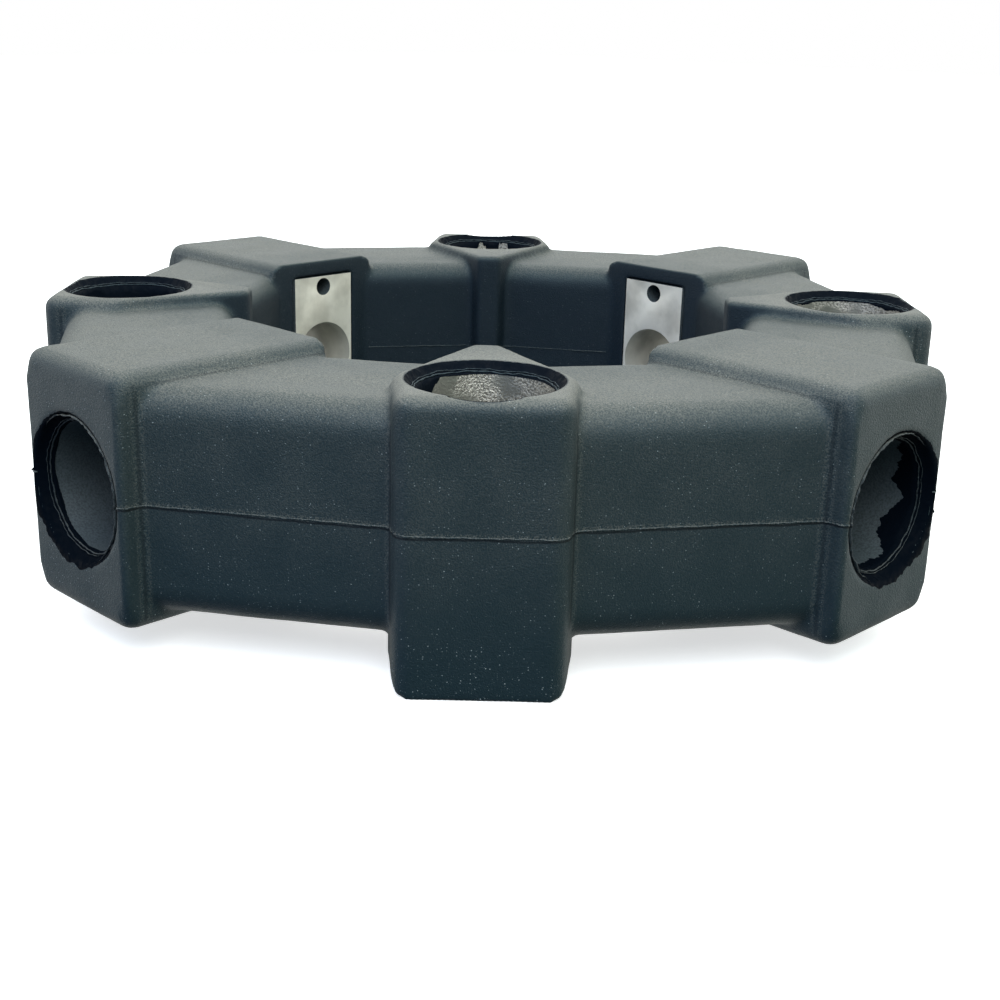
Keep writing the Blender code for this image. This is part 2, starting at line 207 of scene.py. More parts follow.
@dataclass(frozen=True)
class MouldedRubber:
    """Natural rubber filled with carbon black, moulded in a blasted steel mould.

    Matte, with a fine grain that scatters a grey sheen at glancing angles, a grey bloom on what
    faces up, and white specks of the powder that keeps it from sticking to the mould. The bloom over
    the outside grows towards the top, which paints shade on the foot. The ring's inside and the holes'
    countersinks get a darker blue-black as painted shade. Painted dark lines, with powder beside them,
    stand for the shade under the parting ridge and in the creases between webs and lobes.
    """

    name: str = "moulded natural rubber"
    colour: str = "#102429"
    # painted shade: the darker blue-black of the ring's inside and of the holes
    inside_colour: str = "#04141e"
    bloom: str = "#62625c"
    # painted shade: the dark lines under the parting ridge and along the creases
    painted_shade_colour: str = "#020405"
    speck_colour: str = "#b4bdbd"
    sheen: str = "#e2f1fb"  # carbon black scatters blue light best
    roughness: float = 0.58
    roughness_spread: float = 0.05
    grain: float = 0.3 * MM  # of the blasted mould
    grain_depth: float = 0.2 * MM
    mottle: float = 9.0 * MM

    # Where dust lies, and the painted shade of the ring's inside and its holes, by the distance from the axis or an
    # axial bolt.
    outside: Span = Span(67.0 * MM, 79.0 * MM)
    out_of_hole: Span = Span(14.4 * MM, 14.9 * MM, 0.06, 1.0)
    near_hole: Span = Span(14.0 * MM, 30.0 * MM, 1.3, 0.0)  # how much more dust lies there
    lobe_top: Span = Span(52.8 * MM, 54.6 * MM)  # by height

    # The bloom: by height, as painted shade that darkens the foot, and where dust settled on what faces up.
    height_shade: Span = Span(2.0 * MM, 40.0 * MM, 0.01, 0.175)
    height_shade_patches: tuple = (Span(*NOISE, 0.8, 1.2), Span(0.38, 0.62, 0.55, 1.45))  # by mottle and by grain
    settled: Span = Span(0.15, 0.97, 0.0, 0.4)
    settled_patches: tuple = (Span(*NOISE, 0.85, 1.15), Span(0.38, 0.62, 0.45, 1.55))
    lit_from_above: Span = Span(0.0, 0.6)  # painted light from above: the base colour's change as the surface turns up

    # The specks, of which each cell of a pattern holds one at most.
    specks: tuple = ((0.6 * MM, 0.65), (0.32 * MM, 0.34))  # the cell's size and the plainest one's strength
    speck_size: Span = Span(-0.3, 1.0, 0.02, 0.2)  # against the cell, by chance
    faintest_speck: float = 0.05
    speck_edge: Span = Span(0.0, 0.05)
    clusters: Span = Span(0.38, 0.6, 0.3, 1.0)
    foot: Span = Span(2.0 * MM, 13.0 * MM, 1.5, 1.0)
    specks_outside: Span = Span(67.0 * MM, 79.0 * MM, 0.25, 1.0)

    # The painted shadow line under the parting ridge and the powder over it, by the distance from their middles.
    seam_outside: Span = Span(75.0 * MM, 77.0 * MM)
    seam_wander: Span = Span(*NOISE, -0.12 * MM, 0.12 * MM)
    ridge_shadow_height: float = SIZES.bolt_height - 0.42 * MM
    ridge_shadow: Span = Span(0.1 * MM, 0.3 * MM, 0.9, 0.0)
    seam_dust_height: float = SIZES.bolt_height + 0.25 * MM
    seam_dust: Span = Span(0.15 * MM, 0.8 * MM, 0.6, 0.0)
    seam_dust_grain: Span = Span(0.45, 0.62)

    # The creases, each with a line of painted shade: where a web's outside meets a lobe, in plan, and a radial lobe's
    # side over a web.
    radial_corner: tuple = (103.4 * MM, 16.4 * MM, 0.0)
    axial_corner: tuple = (77.7 * MM, 55.0 * MM, 0.0)
    step_corner: tuple = (16.4 * MM, 52.8 * MM, 0.0)  # across and upwards
    crease_wander: Span = Span(*NOISE, -0.25 * MM, 0.25 * MM)
    crease: Span = Span(0.15 * MM, 0.55 * MM, 0.5, 0.0)
    crease_dust_place: float = 1.0 * MM
    crease_dust: Span = Span(0.1 * MM, 0.6 * MM, 0.3, 0.0)
    crease_dust_grain: Span = Span(0.42, 0.6)

    def material(self) -> bpy.types.Material:
        """Builds the material."""
        material, tree, shader = new_material(self.name)
        at = self.readings(tree)
        from_crease = self.from_crease(tree, at)
        layers = [
            (self.bloom, self.bloom_share(tree, at)),
            *((self.speck_colour, self.speck_share(tree, at, cell, most)) for cell, most in self.specks),
            (self.bloom, self.seam_dust_share(tree, at)),
            (self.bloom, self.crease_dust_share(tree, at, from_crease)),
            # painted shade: a dark line along each crease between a web and a lobe
            (self.painted_shade_colour, add_node(tree, RANGE, self.crease.settings, {0: from_crease}).outputs[0]),
            # painted shadow: a dark line under the parting ridge
            (self.painted_shade_colour, self.ridge_shadow_share(tree, at)),
        ]
        colour = self.base_colour(tree, at)
        for over, share in layers:
            mix = {"data_type": "RGBA", 7: linear(over)}
            colour = add_node(tree, "ShaderNodeMix", mix, {0: share, 6: colour}).outputs[2]
        tree.links.new(colour, shader.inputs["Base Color"])

        rough = Span(*NOISE, self.roughness - self.roughness_spread, self.roughness + self.roughness_spread)
        roughness = add_node(tree, RANGE, rough.settings, {0: at.mottle}).outputs[0]
        tree.links.new(roughness, shader.inputs["Roughness"])
        bump = {"Strength": 0.9, "Distance": self.grain_depth}
        pores = add_node(tree, "ShaderNodeBump", bump, {"Height": at.grain}).outputs[0]
        tree.links.new(pores, shader.inputs["Normal"])
        shader.inputs["Specular Tint"].default_value = linear(self.sheen)
        return material

    def readings(self, tree: bpy.types.NodeTree) -> SkinReadings:
        """Adds the nodes that read a point's place and the two random patterns.

        Args:
            tree: The shader tree.

        Returns:
            Their output sockets.
        """
        place = add_node(tree, "ShaderNodeTexCoord").outputs["Object"]
        facing = add_node(tree, "ShaderNodeNewGeometry").outputs["Normal"]
        folded = add_node(tree, VECTORS, {"operation": "ABSOLUTE"}, {0: place}).outputs[0]
        flat = add_node(tree, VECTORS, {"operation": "MULTIPLY", 1: (1.0, 1.0, 0.0)}, {0: folded}).outputs[0]
        bolt = SIZES.bolt_circle / math.sqrt(2)
        to_bolt = {"operation": "DISTANCE", 1: (bolt, bolt, 0.0)}
        fine = {"Scale": 1 / self.grain, "Detail": 4.0}
        coarse = {"Scale": 1 / self.mottle, "Detail": 6.0}
        return SkinReadings(
            folded=folded,
            place=place,
            height=add_node(tree, "ShaderNodeSeparateXYZ", None, {0: place}).outputs["Z"],
            up=add_node(tree, "ShaderNodeSeparateXYZ", None, {0: facing}).outputs["Z"],
            from_axis=add_node(tree, VECTORS, {"operation": "LENGTH"}, {0: flat}).outputs["Value"],
            from_bolt=add_node(tree, VECTORS, to_bolt, {0: flat}).outputs["Value"],
            grain=add_node(tree, "ShaderNodeTexNoise", fine, {"Vector": place}).outputs[0],
            mottle=add_node(tree, "ShaderNodeTexNoise", coarse, {"Vector": place}).outputs[0],
        )

    def base_colour(self, tree: bpy.types.NodeTree, at: SkinReadings) -> bpy.types.NodeSocket:
        """The rubber's colour, with painted shade: a darker blue-black inside the ring, except where it faces up, and
        in the holes.
        """
        outside = add_node(tree, RANGE, self.outside.settings, {0: at.from_axis}).outputs[0]
        out_of_hole = add_node(tree, RANGE, self.out_of_hole.settings, {0: at.from_bolt}).outputs[0]
        lit_from_above = add_node(tree, RANGE, self.lit_from_above.settings, {0: at.up}).outputs[0]
        most = add_node(tree, MATH, {"operation": "MAXIMUM"}, {0: outside, 1: lit_from_above}).outputs[0]
        bases = {"data_type": "RGBA", 6: linear(self.inside_colour), 7: linear(self.colour)}
        return add_node(tree, "ShaderNodeMix", bases, {0: product(tree, [most, out_of_hole])}).outputs[2]

    def bloom_share(self, tree: bpy.types.NodeTree, at: SkinReadings) -> bpy.types.NodeSocket:
        """How grey the skin is: bloom by height, a painted shade on the foot, and settled dust, thicker round holes.
        """
        outside = add_node(tree, RANGE, self.outside.settings, {0: at.from_axis}).outputs[0]
        out_of_hole = add_node(tree, RANGE, self.out_of_hole.settings, {0: at.from_bolt}).outputs[0]
        near_hole = add_node(tree, RANGE, self.near_hole.settings, {0: at.from_bolt}).outputs[0]
        lobe_top = add_node(tree, RANGE, self.lobe_top.settings, {0: at.height}).outputs[0]
        more = product(tree, [near_hole, lobe_top])
        thicker = add_node(tree, MATH, {"operation": "ADD", 1: 1.0}, {0: more}).outputs[0]
        # painted shade: this bloom grows with height, so the foot stays darkest
        height_shade = [add_node(tree, RANGE, self.height_shade.settings, {0: at.height}).outputs[0], outside, out_of_hole]
        settled = [add_node(tree, RANGE, self.settled.settings, {0: at.up}).outputs[0], out_of_hole, thicker]
        for shares, patches in ((height_shade, self.height_shade_patches), (settled, self.settled_patches)):
            for pattern, patch in zip((at.mottle, at.grain), patches):
                shares.append(add_node(tree, RANGE, patch.settings, {0: pattern}).outputs[0])
        both = {0: product(tree, height_shade), 1: product(tree, settled)}
        return add_node(tree, MATH, {"operation": "ADD"}, both).outputs[0]

    def speck_share(
        self, tree: bpy.types.NodeTree, at: SkinReadings, cell: float, most: float
    ) -> bpy.types.NodeSocket:
        """Where the powder's specks lie: in some cells of a pattern, each of its own size, most at the foot.

        Args:
            tree: The shader tree.
            at: Where the point lies.
            cell: The size of the pattern's cells.
            most: The strength of the plainest specks.

        Returns:
            The output socket of the share.
        """
        cells = add_node(tree, "ShaderNodeTexVoronoi", {"Scale": 1 / cell}, {"Vector": at.place})
        draw = add_node(tree, "ShaderNodeSeparateXYZ", None, {0: cells.outputs["Color"]})
        size = add_node(tree, RANGE, self.speck_size.settings, {0: draw.outputs["X"]}).outputs[0]
        depth = {0: size, 1: cells.outputs["Distance"]}
        inside = add_node(tree, MATH, {"operation": "SUBTRACT"}, depth).outputs[0]
        readings = (
            (self.speck_edge, inside),
            (Span(0.1, 1.1, self.faintest_speck, most), draw.outputs["Y"]),
            (self.clusters, at.mottle),
            (self.foot, at.height),
            (self.specks_outside, at.from_axis),
        )
        return product(tree, [add_node(tree, RANGE, span.settings, {0: read}).outputs[0] for span, read in readings])

    def from_crease(self, tree: bpy.types.NodeTree, at: SkinReadings) -> bpy.types.NodeSocket:
        """How far a point lies from the nearest crease between a web and a lobe, a little wavy."""
        parts = add_node(tree, "ShaderNodeSeparateXYZ", None, {0: at.folded}).outputs
        sides = {0: parts["X"], 1: parts["Y"]}
        along = add_node(tree, MATH, {"operation": "MAXIMUM"}, sides).outputs[0]
        across = add_node(tree, MATH, {"operation": "MINIMUM"}, sides).outputs[0]
        plan = add_node(tree, "ShaderNodeCombineXYZ", None, {0: along, 1: across}).outputs[0]
        section = add_node(tree, "ShaderNodeCombineXYZ", None, {0: across, 1: parts["Z"]}).outputs[0]
        corners = ((plan, self.radial_corner), (plan, self.axial_corner), (section, self.step_corner))
        nearest, *others = [
            add_node(tree, VECTORS, {"operation": "DISTANCE", 1: corner}, {0: view}).outputs["Value"]
            for view, corner in corners
        ]
        for other in others:
            nearest = add_node(tree, MATH, {"operation": "MINIMUM"}, {0: nearest, 1: other}).outputs[0]
        wander = add_node(tree, RANGE, self.crease_wander.settings, {0: at.grain}).outputs[0]
        return add_node(tree, MATH, {"operation": "ADD"}, {0: nearest, 1: wander}).outputs[0]

    def crease_dust_share(
        self, tree: bpy.types.NodeTree, at: SkinReadings, from_crease: bpy.types.NodeSocket
    ) -> bpy.types.NodeSocket:
        """Where powder has caught beside a crease.

        Args:
            tree: The shader tree.
            at: Where the point lies.
            from_crease: The socket of its distance from a crease.

        Returns:
            The output socket of the share.
        """
        middle = {"operation": "SUBTRACT", 1: self.crease_dust_place}
        offset = add_node(tree, MATH, middle, {0: from_crease}).outputs[0]
        away = add_node(tree, MATH, {"operation": "ABSOLUTE"}, {0: offset}).outputs[0]
        band = add_node(tree, RANGE, self.crease_dust.settings, {0: away}).outputs[0]
        return product(tree, [band, add_node(tree, RANGE, self.crease_dust_grain.settings, {0: at.grain}).outputs[0]])

    def from_level(
        self, tree: bpy.types.NodeTree, at: SkinReadings, level: float, wander: bpy.types.NodeSocket
    ) -> bpy.types.NodeSocket:
        """How far a point lies over or under a level that wanders up and down a little.

        Args:
            tree: The shader tree.
            at: Where the point lies.
            level: The level's height.
            wander: The socket of the pattern that it wanders by.

        Returns:
            The output socket of the distance.
        """
        shift = add_node(tree, RANGE, self.seam_wander.settings, {0: wander}).outputs[0]
        height = add_node(tree, MATH, {"operation": "ADD"}, {0: at.height, 1: shift}).outputs[0]
        offset = add_node(tree, MATH, {"operation": "SUBTRACT", 0: level}, {1: height}).outputs[0]
        return add_node(tree, MATH, {"operation": "ABSOLUTE"}, {0: offset}).outputs[0]

    def ridge_shadow_share(self, tree: bpy.types.NodeTree, at: SkinReadings) -> bpy.types.NodeSocket:
        """Where the painted shadow under the mould's parting ridge runs, as a dark line on the coupling's outside."""
        away = self.from_level(tree, at, self.ridge_shadow_height, at.mottle)
        line = add_node(tree, RANGE, self.ridge_shadow.settings, {0: away}).outputs[0]
        return product(tree, [line, add_node(tree, RANGE, self.seam_outside.settings, {0: at.from_axis}).outputs[0]])

    def seam_dust_share(self, tree: bpy.types.NodeTree, at: SkinReadings) -> bpy.types.NodeSocket:
        """Where powder has caught above the parting ridge."""
        away = self.from_level(tree, at, self.seam_dust_height, at.grain)
        readings = ((self.seam_dust, away), (self.seam_outside, at.from_axis), (self.seam_dust_grain, at.grain))
        return product(tree, [add_node(tree, RANGE, span.settings, {0: read}).outputs[0] for span, read in readings])


@dataclass(frozen=True)
class TornRubber:
    """Rubber torn through where the moulding's skin was broken out of a hole.

    A torn face has none of the mould's grain or bloom, so it is near black, with faint glints on its
    tears.
    """

    name: str = "torn natural rubber"
    colour: str = "#040a12"
    tears: float = 1.3 * MM
    tear_depth: float = 0.3 * MM
    roughness: float = 0.5
    roughness_spread: float = 0.3
    gloss: float = 0.02

    def material(self) -> bpy.types.Material:
        """Builds the material."""
        material, tree, shader = new_material(self.name)
        place = add_node(tree, "ShaderNodeTexCoord").outputs["Object"]
        pattern = {"Scale": 1 / self.tears, "Detail": 5.0, "Distortion": 0.5}
        tears = add_node(tree, "ShaderNodeTexNoise", pattern, {"Vector": place}).outputs[0]
        shader.inputs["Base Color"].default_value = linear(self.colour)
        shader.inputs["Specular IOR Level"].default_value = self.gloss
        rough = Span(0.35, 0.65, self.roughness, self.roughness + self.roughness_spread)
        tree.links.new(add_node(tree, RANGE, rough.settings, {0: tears}).outputs[0], shader.inputs["Roughness"])
        bump = {"Strength": 0.6, "Distance": self.tear_depth}
        ragged = add_node(tree, "ShaderNodeBump", bump, {"Height": tears}).outputs[0]
        tree.links.new(ragged, shader.inputs["Normal"])
        return material


@dataclass(frozen=True)
class CastAluminium:
    """Aluminium as it left a sand mould: dull brown-grey, with grains that glint, smeared in places."""

    name: str = "sand-cast aluminium"
    colour: str = "#a8a49a"
    shade: str = "#716e67"
    smeared: str = "#78776f"
    grit: float = 0.42 * MM
    grit_depth: float = 0.3 * MM
    smear: float = 7.0 * MM
    metallic: float = 0.5
    roughness: float = 0.3
    tones: Span = Span(0.35, 0.6)  # of the grit's pattern, from the shade to the colour
    smears: Span = Span(0.48, 0.6)  # of a coarse pattern
    relief: Span = Span(0.48, 0.6, 1.0, 0.3)  # of the same pattern: a smear fills the grit

    def material(self) -> bpy.types.Material:
        """Builds the material."""
        material, tree, shader = new_material(self.name)
        place = add_node(tree, "ShaderNodeTexCoord").outputs["Object"]
        fine = {"Scale": 1 / self.grit, "Detail": 3.0}
        grit = add_node(tree, "ShaderNodeTexNoise", fine, {"Vector": place}).outputs[0]
        coarse = {"Scale": 1 / self.smear, "Detail": 1.0}
        patches = add_node(tree, "ShaderNodeTexNoise", coarse, {"Vector": place}).outputs[0]
        tones = add_node(tree, RANGE, self.tones.settings, {0: grit}).outputs[0]
        bare = {"data_type": "RGBA", 6: linear(self.shade), 7: linear(self.colour)}
        tone = add_node(tree, "ShaderNodeMix", bare, {0: tones}).outputs[2]
        smeared = add_node(tree, RANGE, self.smears.settings, {0: patches}).outputs[0]
        over = {"data_type": "RGBA", 7: linear(self.smeared)}
        tone = add_node(tree, "ShaderNodeMix", over, {0: smeared, 6: tone}).outputs[2]
        tree.links.new(tone, shader.inputs["Base Color"])
        shader.inputs["Metallic"].default_value = self.metallic
        shader.inputs["Roughness"].default_value = self.roughness
        relief = add_node(tree, RANGE, self.relief.settings, {0: patches}).outputs[0]
        links = {"Height": grit, "Strength": relief}
        bump = add_node(tree, "ShaderNodeBump", {"Distance": self.grit_depth}, links).outputs[0]
        tree.links.new(bump, shader.inputs["Normal"])
        return material


@dataclass(frozen=True)
class DulledAluminium:
    """Aluminium with a grey film of oxide and rubber fume, as in the radial lobes' holes: matte."""

    name: str = "oxidised cast aluminium"
    colour: str = "#454e52"
    shade: str = "#31393d"
    grit: float = 0.4 * MM
    grit_depth: float = 0.15 * MM
    metallic: float = 0.2
    roughness: float = 0.62
    tones: Span = Span(0.3, 0.65)  # of the grit's pattern, from the shade to the colour

    def material(self) -> bpy.types.Material:
        """Builds the material."""
        material, tree, shader = new_material(self.name)
        place = add_node(tree, "ShaderNodeTexCoord").outputs["Object"]
        fine = {"Scale": 1 / self.grit, "Detail": 3.0}
        grit = add_node(tree, "ShaderNodeTexNoise", fine, {"Vector": place}).outputs[0]
        tones = add_node(tree, RANGE, self.tones.settings, {0: grit}).outputs[0]
        mix = {"data_type": "RGBA", 6: linear(self.shade), 7: linear(self.colour)}
        tree.links.new(add_node(tree, "ShaderNodeMix", mix, {0: tones}).outputs[2], shader.inputs["Base Color"])
        shader.inputs["Metallic"].default_value = self.metallic
        shader.inputs["Roughness"].default_value = self.roughness
        bump = {"Strength": 0.35, "Distance": self.grit_depth}
        tree.links.new(add_node(tree, "ShaderNodeBump", bump, {"Height": grit}).outputs[0], shader.inputs["Normal"])
        return material


@dataclass(frozen=True)
class MachinedAluminium:
    """The same aluminium where it was milled flat: pale, satin, with faint upright tool marks."""

    name: str = "milled aluminium"
    colour: str = "#ece6d8"
    stain: str = "#d0cabc"
    stain_size: float = 7.0 * MM
    marks: float = 0.5 * MM
    mark_depth: float = 0.05 * MM
    mark_stretch: float = 0.06  # how little the marks change upwards, against sideways
    metallic: float = 0.3
    roughness: float = 0.5
    roughness_spread: float = 0.08
    stains: Span = Span(0.3, 0.6)  # of the coarse pattern, from the stain to the colour

    def material(self) -> bpy.types.Material:
        """Builds the material."""
        material, tree, shader = new_material(self.name)
        place = add_node(tree, "ShaderNodeTexCoord").outputs["Object"]
        upright = {"Scale": (1.0, 1.0, self.mark_stretch)}
        long_marks = add_node(tree, "ShaderNodeMapping", upright, {"Vector": place}).outputs[0]
        fine = {"Scale": 1 / self.marks, "Detail": 2.0}
        marks = add_node(tree, "ShaderNodeTexNoise", fine, {"Vector": long_marks}).outputs[0]
        coarse = {"Scale": 1 / self.stain_size, "Detail": 4.0}
        patches = add_node(tree, "ShaderNodeTexNoise", coarse, {"Vector": place}).outputs[0]
        stains = add_node(tree, RANGE, self.stains.settings, {0: patches}).outputs[0]
        mix = {"data_type": "RGBA", 6: linear(self.stain), 7: linear(self.colour)}
        tree.links.new(add_node(tree, "ShaderNodeMix", mix, {0: stains}).outputs[2], shader.inputs["Base Color"])
        shader.inputs["Metallic"].default_value = self.metallic
        rough = Span(*NOISE, self.roughness - self.roughness_spread, self.roughness + self.roughness_spread)
        tree.links.new(add_node(tree, RANGE, rough.settings, {0: marks}).outputs[0], shader.inputs["Roughness"])
        bump = {"Strength": 0.25, "Distance": self.mark_depth}
        tree.links.new(add_node(tree, "ShaderNodeBump", bump, {"Height": marks}).outputs[0], shader.inputs["Normal"])
        return material


@dataclass(frozen=True)
class PaleFloor:
    """A sheet of matte white paper under the part."""

    name: str = "white paper"
    colour: str = "#f6f6f6"
    roughness: float = 0.9
    glow: float = 0.62  # keeps the far floor as white as the surround

    def material(self) -> bpy.types.Material:
        """Builds the material."""
        material, _, shader = new_material(self.name)
        shader.inputs["Base Color"].default_value = linear(self.colour)
        shader.inputs["Roughness"].default_value = self.roughness
        shader.inputs["Specular IOR Level"].default_value = 0.0
        shader.inputs["Emission Color"].default_value = (1.0, 1.0, 1.0, 1.0)
        shader.inputs["Emission Strength"].default_value = self.glow
        return material


def add_piece(name: str, mesh: bpy.types.Mesh) -> bpy.types.Object:
    """Adds a finished mesh as a piece of the part.

    Args:
        name: The piece's name.
        mesh: Its mesh, in place.

    Returns:
        The new object, which rides on the part's one body.
    """
    hold_in_box(mesh, SIZES)
    obj = bpy.data.objects.new(name, mesh)
    bpy.context.scene.collection.objects.link(obj)
    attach(obj, BODY)
    log.info("%s: %d faces", name, len(mesh.polygons))
    return obj


def points_of(mesh: bpy.types.Mesh) -> np.ndarray:
    """A mesh's points, one a row."""
    points = np.empty(len(mesh.vertices) * 3, np.float32)
    mesh.vertices.foreach_get("co", points)
    return points.reshape(-1, 3).astype(float)


def move_points(mesh: bpy.types.Mesh, points: np.ndarray) -> None:
    """Moves a mesh's points to new places, one a row."""
    mesh.vertices.foreach_set("co", points.astype(np.float32).ravel())
    mesh.update()


def hold_in_box(mesh: bpy.types.Mesh, sizes: CouplingSizes) -> None:
    """Moves what reaches past the coupling's overall box back onto the box."""
    reach = sizes.radial_reach
    move_points(mesh, np.clip(points_of(mesh), (-reach, -reach, 0.0), (reach, reach, sizes.height)))


def settled(obj: bpy.types.Object, name: str) -> bpy.types.Mesh:
    """The mesh of an object with its modifiers applied. The object is removed.

    Args:
        obj: The object, which is linked to the scene.
        name: The new mesh's name.

    Returns:
        A new mesh.
    """
    graph = bpy.context.evaluated_depsgraph_get()
    mesh = bpy.data.meshes.new_from_object(obj.evaluated_get(graph))
    mesh.name = name
    bpy.data.objects.remove(obj)
    return mesh


def workpiece(mesh: bpy.types.Mesh | bpy.types.Curve) -> bpy.types.Object:
    """A linked object that holds a mesh or a curve."""
    obj = bpy.data.objects.new(mesh.name, mesh)
    bpy.context.scene.collection.objects.link(obj)
    return obj


def mesh_of(shape: bmesh.types.BMesh, name: str) -> bpy.types.Mesh:
    """Turns a bmesh into a mesh and frees it."""
    mesh = bpy.data.meshes.new(name)
    shape.to_mesh(mesh)
    shape.free()
    return mesh


def spin_round(shape: bmesh.types.BMesh, parts: list, steps: int) -> None:
    """Spins points and edges once round the upright axis.

    Args:
        shape: The bmesh that they are in.
        parts: The points and edges of the section.
        steps: The number of steps.
    """
    bmesh.ops.spin(
        shape,
        geom=parts,
        axis=(0.0, 0.0, 1.0),
        cent=(0.0, 0.0, 0.0),
        steps=steps,
        angle=2 * math.pi,
        use_merge=True,
        use_duplicate=False,
    )


@dataclass(frozen=True)
class LobeView:
    """Points as the lobe nearest to each sees them, with one value a point."""

    is_axial: np.ndarray
    along: np.ndarray  # how far out, along the lobe
    across: np.ndarray  # how far to the side, without its sign
    height: np.ndarray
    turn: np.ndarray  # the lobe's angle about the coupling's axis
    side: np.ndarray  # 1 on the lobe's anticlockwise side, -1 on the other

    @classmethod
    def of(cls, points: np.ndarray) -> "LobeView":
        """Finds each point's nearest lobe.

        Args:
            points: The points, one a row.

        Returns:
            The points as their lobes see them.
        """
        eighth = np.round(np.arctan2(points[:, 1], points[:, 0]) / EIGHTH).astype(int)
        turn = eighth * EIGHTH
        along = points[:, 0] * np.cos(turn) + points[:, 1] * np.sin(turn)
        aside = points[:, 1] * np.cos(turn) - points[:, 0] * np.sin(turn)
        return cls(eighth % 2 == 1, along, np.abs(aside), points[:, 2].copy(), turn, np.sign(aside))

    def shift(self, points: np.ndarray, share: np.ndarray, out: np.ndarray | float, beside: np.ndarray) -> None:
        """Moves the points, each by its share of a step along and across its lobe.

        Args:
            points: The points, one a row.
            share: The share of the step, for each.
            out: The step's length along the lobe.
            beside: Its length away from the lobe's middle.
        """
        aside = beside * self.side
        points[:, 0] += share * (out * np.cos(self.turn) - aside * np.sin(self.turn))
        points[:, 1] += share * (out * np.sin(self.turn) + aside * np.cos(self.turn))


